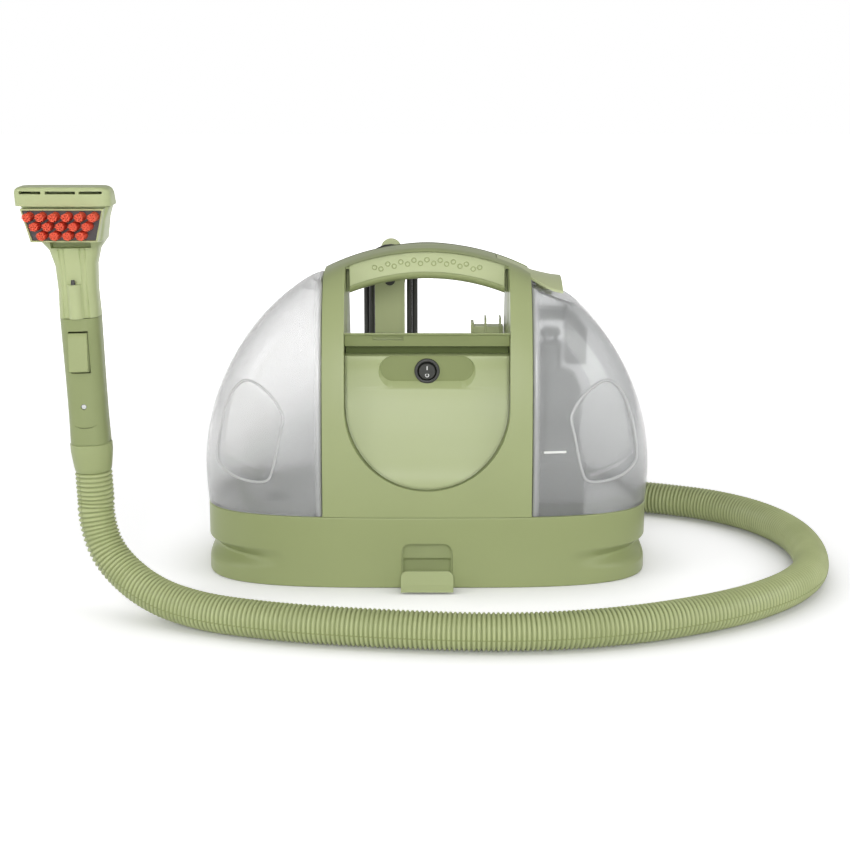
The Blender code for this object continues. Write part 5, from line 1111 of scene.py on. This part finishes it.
# The cord leaves the base through a tapered rubber gland, and its moulded plug has
# two flat blades and a tapered strain relief.
gland_axis = Matrix.Translation((lead_x, 0, 0.032)) @ Matrix.Rotation(-math.pi / 2, 4, "X")
GLAND_LINE = [
    (3.15, 104), (6.5, 93), (6.4, 101.6), (9, 101.8), (9, 103.8), (8.6, 104.4), (5.9, 104.6),
    (5.7, 105.8), (5.1, 106), (5.1, 107.2), (5.5, 107.4), (5.3, 108.8), (4.8, 109), (4.8, 110.2),
    (5.1, 110.4), (4.7, 112.2), (3.15, 112.4)]
settle(
    lathe("cord_grommet", GLAND_LINE, gland_axis, 40), ["cord_gland"], cord_finish, 0)
plug = block(
    "plug_body", (plug_x - 8 * MM, plug_y - 10 * MM, PLUG_TOP - 30 * MM),
    (plug_x + 8 * MM, plug_y + 10 * MM, PLUG_TOP - 8 * MM))
join(
    plug,
    peg("relief", (plug_x, plug_y, PLUG_TOP - 9 * MM), (plug_x, plug_y, PLUG_TOP), 5.5 * MM, 4.2 * MM))
settle(plug, ["mains_plug"], cord_finish, 2 * MM)
BLADE_SIZE = Matrix.Diagonal((*mm(1.5, 6.2, 17.2), 1))
BLADE_OFFSET = 6.35 * MM
blades = bmesh.new()
for side in (-1, 1):
    place = Matrix.Translation((plug_x, plug_y + side * BLADE_OFFSET, PLUG_TOP - 38.4 * MM))
    bmesh.ops.create_cube(blades, size=1, matrix=place @ BLADE_SIZE)
blades = settle(from_bmesh("plug_blades", blades), [], steel_finish, 0.3 * MM)

# The hose leaves through a short ABS spigot and a cuff at the rear of the base, and
# ends in a tapered cuff under the grip.
outlet_axis = Matrix.Translation(OUTLET_ROOT) @ OUTLET_HEADING.to_track_quat("Z", "Y").to_matrix().to_4x4()
SPIGOT_LINE = [(11, 40), (18.6, 40), (19.4, 39.2), (19.4, -24), (11, -24)]
settle(lathe("hose_spigot", SPIGOT_LINE, outlet_axis), ["hose_outlet"], base_finish, 0)
REAR_CUFF_LINE = [
    (12.4, 70.4), (17.8, 70.4), (18.3, 69.9), (20, 65.2), (20.6, 63.6), (20.6, 41.2), (19.9, 40.4),
    (12.4, 40.4)]
rear_cuff = lathe("rear_cuff", REAR_CUFF_LINE, outlet_axis)
settle(rear_cuff, ["hose_rear_cuff"], base_finish, 0)
TOOL_CUFF_LINE = [
    (13.5, 27), (18.4, 27), (19.2, 26.2), (19.2, 20), (18.7, 15), (17.9, 9), (17.3, 4.6), (16.5, 1),
    (15.9, 0), (12.4, 0)]
settle(lathe("tool_cuff", TOOL_CUFF_LINE, TOOL_PLACE), ["hose_tool_cuff"], base_finish, 0)

# The hand grip is two ABS half-shells screwed together, with the spray trigger
# hinged on a pin in the front one.
GRIP_POWER = 2.7
grip_finish = sage_abs("moulded_abs_sage_grip", "#929C6B")


def section(half_width, depth, power, z, steps):
    ring = []
    for i in range(steps):
        t = 2 * math.pi * (i + 0.5) / steps
        ring.append((half_width * eased(math.cos(t), power), depth * eased(math.sin(t), power), z))
    return ring


def grip_half(name, side):
    rings = []
    swells = ((27.4, 0.4), (50, 0), (75, 0), (110, 0.3), (143, 0.6))
    for i in range(25):
        z, swell = between(swells, 27.4 + 115.6 * i / 24)
        half, depth = (17.4 + swell) * MM, (18.2 + swell) * MM
        ring = []
        for j in range(41):
            t = math.pi * j / 40
            y = side * max(depth * math.sin(t) ** (2 / GRIP_POWER), 0.2 * MM)
            ring.append((half * eased(math.cos(t), GRIP_POWER), y, z * MM))
        rings.append(ring)
    bore = [section(*mm(14.4, 15.2), 2.4, z, 48) for z in (0.0214, 0.149)]
    return cut(skin(name, rings), skin("grip_bore", bore))


grip_front = grip_half("grip_shell_front", -1)
TRIGGER_PIN = Vector((0, -12.5, 126)) * MM
pin_end = Vector(mm(12.2, 0, 0))
cut(
    grip_front, block("window", mm(-8.8, -40, 93.8), mm(8.8, -5, 132)),
    peg("screw_hole", (0, -0.03, 0.063), (0, -0.008, 0.063), 2.6 * MM),
    peg("pin_hole", TRIGGER_PIN - pin_end, TRIGGER_PIN + pin_end, 1.65 * MM))
COVER_HALF = 14
turns = [math.pi * (1 + i / 24) for i in range(25)]
groove = [(COVER_HALF * math.cos(t), 51 + 8 * math.sin(t)) for t in turns]
groove = [(-COVER_HALF, 70)] + groove + [(COVER_HALF, 70)]
cover_line = [mm(*point) for point in groove] + [mm(x * 0.94, z + 0.8) for x, z in reversed(groove)]
cut(grip_front, plate("cover_line", cover_line, -0.03, -16.6 * MM, "y"))
settle(grip_front, ["grip_front"], grip_finish, 0.5 * MM, place=TOOL_PLACE)
settle(grip_half("grip_shell_rear", 1), ["grip_rear"], grip_finish, 0.5 * MM, place=TOOL_PLACE)
TRIGGER_SIDE = (
    (-19.2, 130.4), (-22, 126), (-25, 110), (-27, 99), (-25.5, 96.5), (-20, 96.5), (-15, 108),
    (-10.4, 121), (-9.2, 126), (-11, 129.6), (-19.2, 130.4))
trigger_line, _ = eased_line([Vector((0, y, z)) * MM for y, z in TRIGGER_SIDE], 1.4 * MM)
trigger = plate("trigger_lever", [(p.y, p.z) for p in trigger_line[:-1]], *mm(-8.4, 8.4), "x")
bore_end = Vector(mm(20, 0, 0))
cut(trigger, peg("trigger_bore", TRIGGER_PIN - bore_end, TRIGGER_PIN + bore_end, 1.65 * MM, sides=24))
settle(
    trigger, ["spray_trigger"], sage_abs("moulded_abs_sage_trigger", "#A4AE7C"), 1.2 * MM,
    body="spray_trigger", place=TOOL_PLACE)
dress(steel_finish, "grip_screw", "trigger_pin")

# The brush tool is a flared ABS nozzle that slides off the grip, with three suction
# slits over a dark plate of bristles and a spray jet on its neck.
HEAD_LEVEL = 0.034
NECK_TOP = 200 * MM
NECK_BLEND = 14 * MM
head_finish = sage_abs("moulded_abs_sage_head", "#B6C08F")
HEAD_ROWS = (
    (143.4, 18.2, 18.8, 18.8, 2.7), (168, 17.4, 17.5, 18, 2.7), (190, 18.6, 17, 18, 2.8),
    (204, 22.5, 18, 18, 3), (211.5, 28, 20.5, 15.5, 3.6), (213.4, 30, 31, 14, 4),
    (214.4, 30.8, 38.4, 13.2, 4.5), (234, 35.4, 38.6, 3.6, 5), (243.2, 39, 33.4, -2, 5),
    (245.3, 40.4, 33, -3, 5), (245.6, 42.6, 41.4, -3.2, 5), (256.5, 42.6, 41.4, -10, 5),
    (259.6, 41.6, 41.2, -12.5, 5), (261.2, 39.8, 40.6, -14, 5), (262, 37.6, 39.6, -15, 5))


def head_ring(z, half, face, back, power, steps):
    depth, middle = (face + back) / 2 * MM, (back - face) / 2 * MM
    return [(x, y + middle, z) for x, y, z in section(half * MM, depth, power, z * MM, steps)]


def level(piece):
    """Turns the head level on its neck, which leans with the grip."""
    for v in piece.data.vertices:
        v.co.z -= v.co.x * HEAD_LEVEL * min(1, max(0, (v.co.z - NECK_TOP) / NECK_BLEND))
    return piece


head_rings = []
for low, high in zip(HEAD_ROWS, HEAD_ROWS[1:]):
    for i in range(5):
        head_rings.append(head_ring(*[a + (b - a) * i / 5 for a, b in zip(low, high)], 96))
head_rings.append(head_ring(*HEAD_ROWS[-1], 96))
head = skin("brush_head", head_rings)
join(head, peg("jet_ridge", mm(0, -16.2, 143.4), mm(0, -16.2, 174), 6.4 * MM))
for x in (-9.6, 9.6):
    cut(head, peg("flute", mm(x, -18, 143), mm(x, -18, 206), 3.2 * MM, sides=32))
cut(head, block("hood", mm(-18, -27, 206.4), mm(18, -8.2, 213)))
BORE_ROWS = (
    (137, 13.5, 12, 14, 2.4), (190, 13.5, 12, 14, 2.4), (201, 14.5, 5.6, 13.6, 2.6),
    (214.6, 17, 5.6, 9, 2.8), (222, 22, 20, 3, 3.2), (246, 30, 31, -10, 4))
cut(head, skin("head_bore", [head_ring(*row, 48) for row in BORE_ROWS]))
for low, high in ((-36.4, -17), (-13.2, 13.2), (16.2, 36)):
    cut(head, block("slit", mm(low, -47, 256.2), mm(high, -21, 258.6)))
cut(head, block("throat", mm(-29, -30, 240), mm(29, -22, 257.2)))


def plate_outline(grow):
    corners = ((-27.5, -1, 216.3, -1), (27.5, 1, 216.3, -1), (34.6, 1, 241.7, 1), (-34.6, -1, 241.7, 1))
    return [mm(x + across * grow, z + up * grow) for x, across, z, up in corners]


join(head, plate("frame", plate_outline(1.8), *mm(-40.6, -18), "y"))
cut(head, plate("seat", plate_outline(0.4), *mm(-46, -35), "y"))
settle(level(head), ["tool_body"], head_finish, 0.5 * MM, body="brush_tool", place=TOOL_PLACE)
dress(nylon_finish, "spray_nozzle")

# The brush plate is dark polypropylene with fifteen holes, six, five and four, for
# the tufts that stand through it.
TUFT_PITCH = 11.4
TUFT_ROWS = ((237, 6), (229, 5), (221, 4))
TUFTS = [(TUFT_PITCH * (i - (count - 1) / 2), z) for z, count in TUFT_ROWS for i in range(count)]
plate_finish = grained("moulded_polypropylene_charcoal", 1.5, 2, "#413F41", "#4D4B4D", (0.4, 0.55))
brush_plate = plate("tuft_plate", plate_outline(0), *mm(-39.2, -37.2), "y")
HOLE_RADIUS = 4.1 * MM
upright = Matrix.Rotation(math.pi / 2, 4, "X")
holes = bmesh.new()
for x, z in TUFTS:
    place = Matrix.Translation(mm(x, -40, z)) @ upright
    bmesh.ops.create_cone(
        holes, cap_ends=True, segments=32, radius1=HOLE_RADIUS, radius2=HOLE_RADIUS, depth=30 * MM,
        matrix=place)
cut(brush_plate, from_bmesh("holes", holes))
settle(
    level(brush_plate), ["brush_plate"], plate_finish, 0.3 * MM, body="brush_tool",
    place=TOOL_PLACE)

# The bristles are red nylon, fifteen round tufts of stiff strands.  Each strand is
# drawn 0.76 mm thick, where the real one has about 0.3 mm, so that it shows.
bristle_finish = grained("extruded_nylon_red", 1.4, 1, "#F25234", "#FF704E", more={"Roughness": 0.42})
tuft_tree, given = new_tree(
    "bristle_tufts", Strands="Int", Tuft_Radius="Float", Strand_Radius="Float", Strand_Length="Float",
    Finish="Material")
roots = add(tuft_tree, "GeometryNodeMeshLine", {"Count": given["Strands"], "Offset": (0, 0, 0)})
number = add(tuft_tree, "GeometryNodeInputIndex")
spun = add(tuft_tree, "ShaderNodeMath", {0: number, 1: 2.39996}, operation="MULTIPLY")
shifted = add(tuft_tree, "ShaderNodeMath", {0: number, 1: 0.5}, operation="ADD")
portion = add(tuft_tree, "ShaderNodeMath", {0: shifted, 1: given["Strands"]}, operation="DIVIDE")
rooted = add(tuft_tree, "ShaderNodeMath", {0: portion}, operation="SQRT")
reach = add(tuft_tree, "ShaderNodeMath", {0: rooted, 1: given["Tuft Radius"]}, operation="MULTIPLY")
cosine = add(tuft_tree, "ShaderNodeMath", {0: spun}, operation="COSINE")
sine = add(tuft_tree, "ShaderNodeMath", {0: spun}, operation="SINE")
off_x = add(tuft_tree, "ShaderNodeMath", {0: reach, 1: cosine}, operation="MULTIPLY")
off_z = add(tuft_tree, "ShaderNodeMath", {0: reach, 1: sine}, operation="MULTIPLY")
offset = add(tuft_tree, "ShaderNodeCombineXYZ", {"X": off_x, "Z": off_z})
placed = add(tuft_tree, "GeometryNodeSetPosition", {"Geometry": roots, "Offset": offset})
strand = add(
    tuft_tree, "GeometryNodeMeshCone",
    {
        "Vertices": 6, "Side Segments": 3, "Radius Top": given["Strand Radius"],
        "Radius Bottom": given["Strand Radius"], "Depth": given["Strand Length"]})
laid = add(tuft_tree, "GeometryNodeTransform", {"Geometry": strand, "Rotation": (math.pi / 2, 0, 0)})
lean = add(
    tuft_tree, "FunctionNodeRandomValue",
    {"Min": (-0.02, -0.4, -0.02), "Max": (0.02, 0.4, 0.02), "Seed": 7}, data_type="FLOAT_VECTOR")
stretch = add(tuft_tree, "FunctionNodeRandomValue", {2: 0.975, 3: 1, "Seed": 11}, data_type="FLOAT")
size = add(tuft_tree, "ShaderNodeCombineXYZ", {"X": 1, "Y": stretch, "Z": 1})
strands = add(
    tuft_tree, "GeometryNodeInstanceOnPoints",
    {"Points": placed, "Instance": laid, "Rotation": lean, "Scale": size})
tufts = add(tuft_tree, "GeometryNodeInstanceOnPoints", {"Points": given["Geometry"], "Instance": strands})
whole = add(tuft_tree, "GeometryNodeRealizeInstances", {"Geometry": tufts})
painted = add(tuft_tree, "GeometryNodeSetMaterial", {"Geometry": whole, "Material": given["Finish"]})
add(tuft_tree, "NodeGroupOutput", {"Geometry": painted})
BRISTLE_ROOT = -35.8
middles = bmesh.new()
for x, z in TUFTS:
    middles.verts.new(mm(x, BRISTLE_ROOT, z))
bristles = run_tree(
    from_bmesh("middles", middles), tuft_tree, "red_bristles", Strands=80, Tuft_Radius=3.6 * MM,
    Strand_Radius=0.38 * MM, Strand_Length=17.2 * MM, Finish=bristle_finish)
backing = plate("bristle_backing", plate_outline(-0.2), *mm(-36.8, -35.4), "y")
settle(
    level(bristles), ["brush_bristles"], bristle_finish, 0, body="brush_tool",
    place=TOOL_PLACE)
settle(level(backing), [], bristle_finish, 0, body="brush_tool", place=TOOL_PLACE)

# The stage is a plain pale floor that keeps the object's shadow, a white world and
# four soft lamps: one in front above the camera, one to each side and one behind.
# Ambient occlusion also darkens the floor's glow near the object: a painted contact shadow.
floor_finish, tree, shader = blank_material("pale_floor")
tree.nodes.remove(shader)
path = add(tree, "ShaderNodeLightPath")
seen = add(
    tree, "ShaderNodeMath", {0: path.outputs["Is Camera Ray"], 1: path.outputs["Is Glossy Ray"]},
    operation="MAXIMUM")
seen = add(tree, "ShaderNodeMath", {0: seen, 1: path.outputs["Is Transmission Ray"]}, operation="MAXIMUM")
place = add(tree, "ShaderNodeTexCoord").outputs["Object"]
span = add(tree, "ShaderNodeVectorMath", {0: place}, operation="LENGTH")
fade = add(
    tree, "ShaderNodeMapRange",
    {"Value": span, "From Min": 0.55, "From Max": 1.1, "To Min": 0.58, "To Max": 1})
# Painted contact shadow: ambient occlusion dims the floor's glow near the object.
contact_occlusion = add(tree, "ShaderNodeAmbientOcclusion", {"Distance": 0.1}, samples=8)
painted_contact_shadow = add(
    tree, "ShaderNodeMapRange",
    {"Value": contact_occlusion.outputs["AO"], "From Min": 0.3, "From Max": 0.93, "To Min": 0.1, "To Max": 1})
lift = add(tree, "ShaderNodeMath", {0: seen, 1: fade}, operation="MULTIPLY")
lift = add(tree, "ShaderNodeMath", {0: lift, 1: painted_contact_shadow}, operation="MULTIPLY")
matt = add(tree, "ShaderNodeBsdfDiffuse", {"Color": (0.8, 0.8, 0.8, 1)})
glow = add(tree, "ShaderNodeEmission", {"Color": (1, 1, 1, 1), "Strength": lift})
both = add(tree, "ShaderNodeAddShader", {0: matt, 1: glow})
feed(tree.nodes["Material Output"], {"Surface": both})
floor = plate("floor", [(-6, -6), (6, -6), (6, 6), (-6, 6)], -0.02, -0.0002, "z")
floor.data.materials.append(floor_finish)
world = bpy.data.worlds.new("white_room")
bpy.context.scene.world = world
world.use_nodes = True
tree = world.node_tree
path = add(tree, "ShaderNodeLightPath")
seen = add(
    tree, "ShaderNodeMath", {0: path.outputs["Is Camera Ray"], 1: path.outputs["Is Transmission Ray"]},
    operation="MAXIMUM")
around = add(tree, "ShaderNodeTexCoord")
upward = add(tree, "ShaderNodeSeparateXYZ", {"Vector": around.outputs["Generated"]})
sky = add(
    tree, "ShaderNodeMapRange",
    {"Value": upward.outputs["Z"], "From Min": 0, "From Max": 0.8, "To Min": 0.7, "To Max": 0.2})
bright = add(tree, "ShaderNodeMapRange", {"Value": seen, "To Min": sky, "To Max": 1})
feed(tree.nodes["Background"], {"Color": (1, 1, 1, 1), "Strength": bright})
LAMPS = (
    ("front_lamp", (0, -2.4, 0.95), 0.16, 0.8, 24.5), ("left_lamp", (-2, -1, 1.2), 0.15, 1.2, 12),
    ("right_lamp", (2, -1, 1.3), 0.15, 1.2, 10), ("back_lamp", (0.3, 2.4, 1.1), 0.15, 1.2, 10))
for name, spot, aim, size, power in LAMPS:
    lamp = linked(name, bpy.data.lights.new(name, "AREA"))
    lamp.data.size = size
    lamp.data.energy = power
    lamp.visible_glossy = name != "back_lamp"
    lamp.location = spot
    lamp.rotation_euler = (Vector((0, 0, aim)) - Vector(spot)).to_track_quat("-Z", "Y").to_euler()
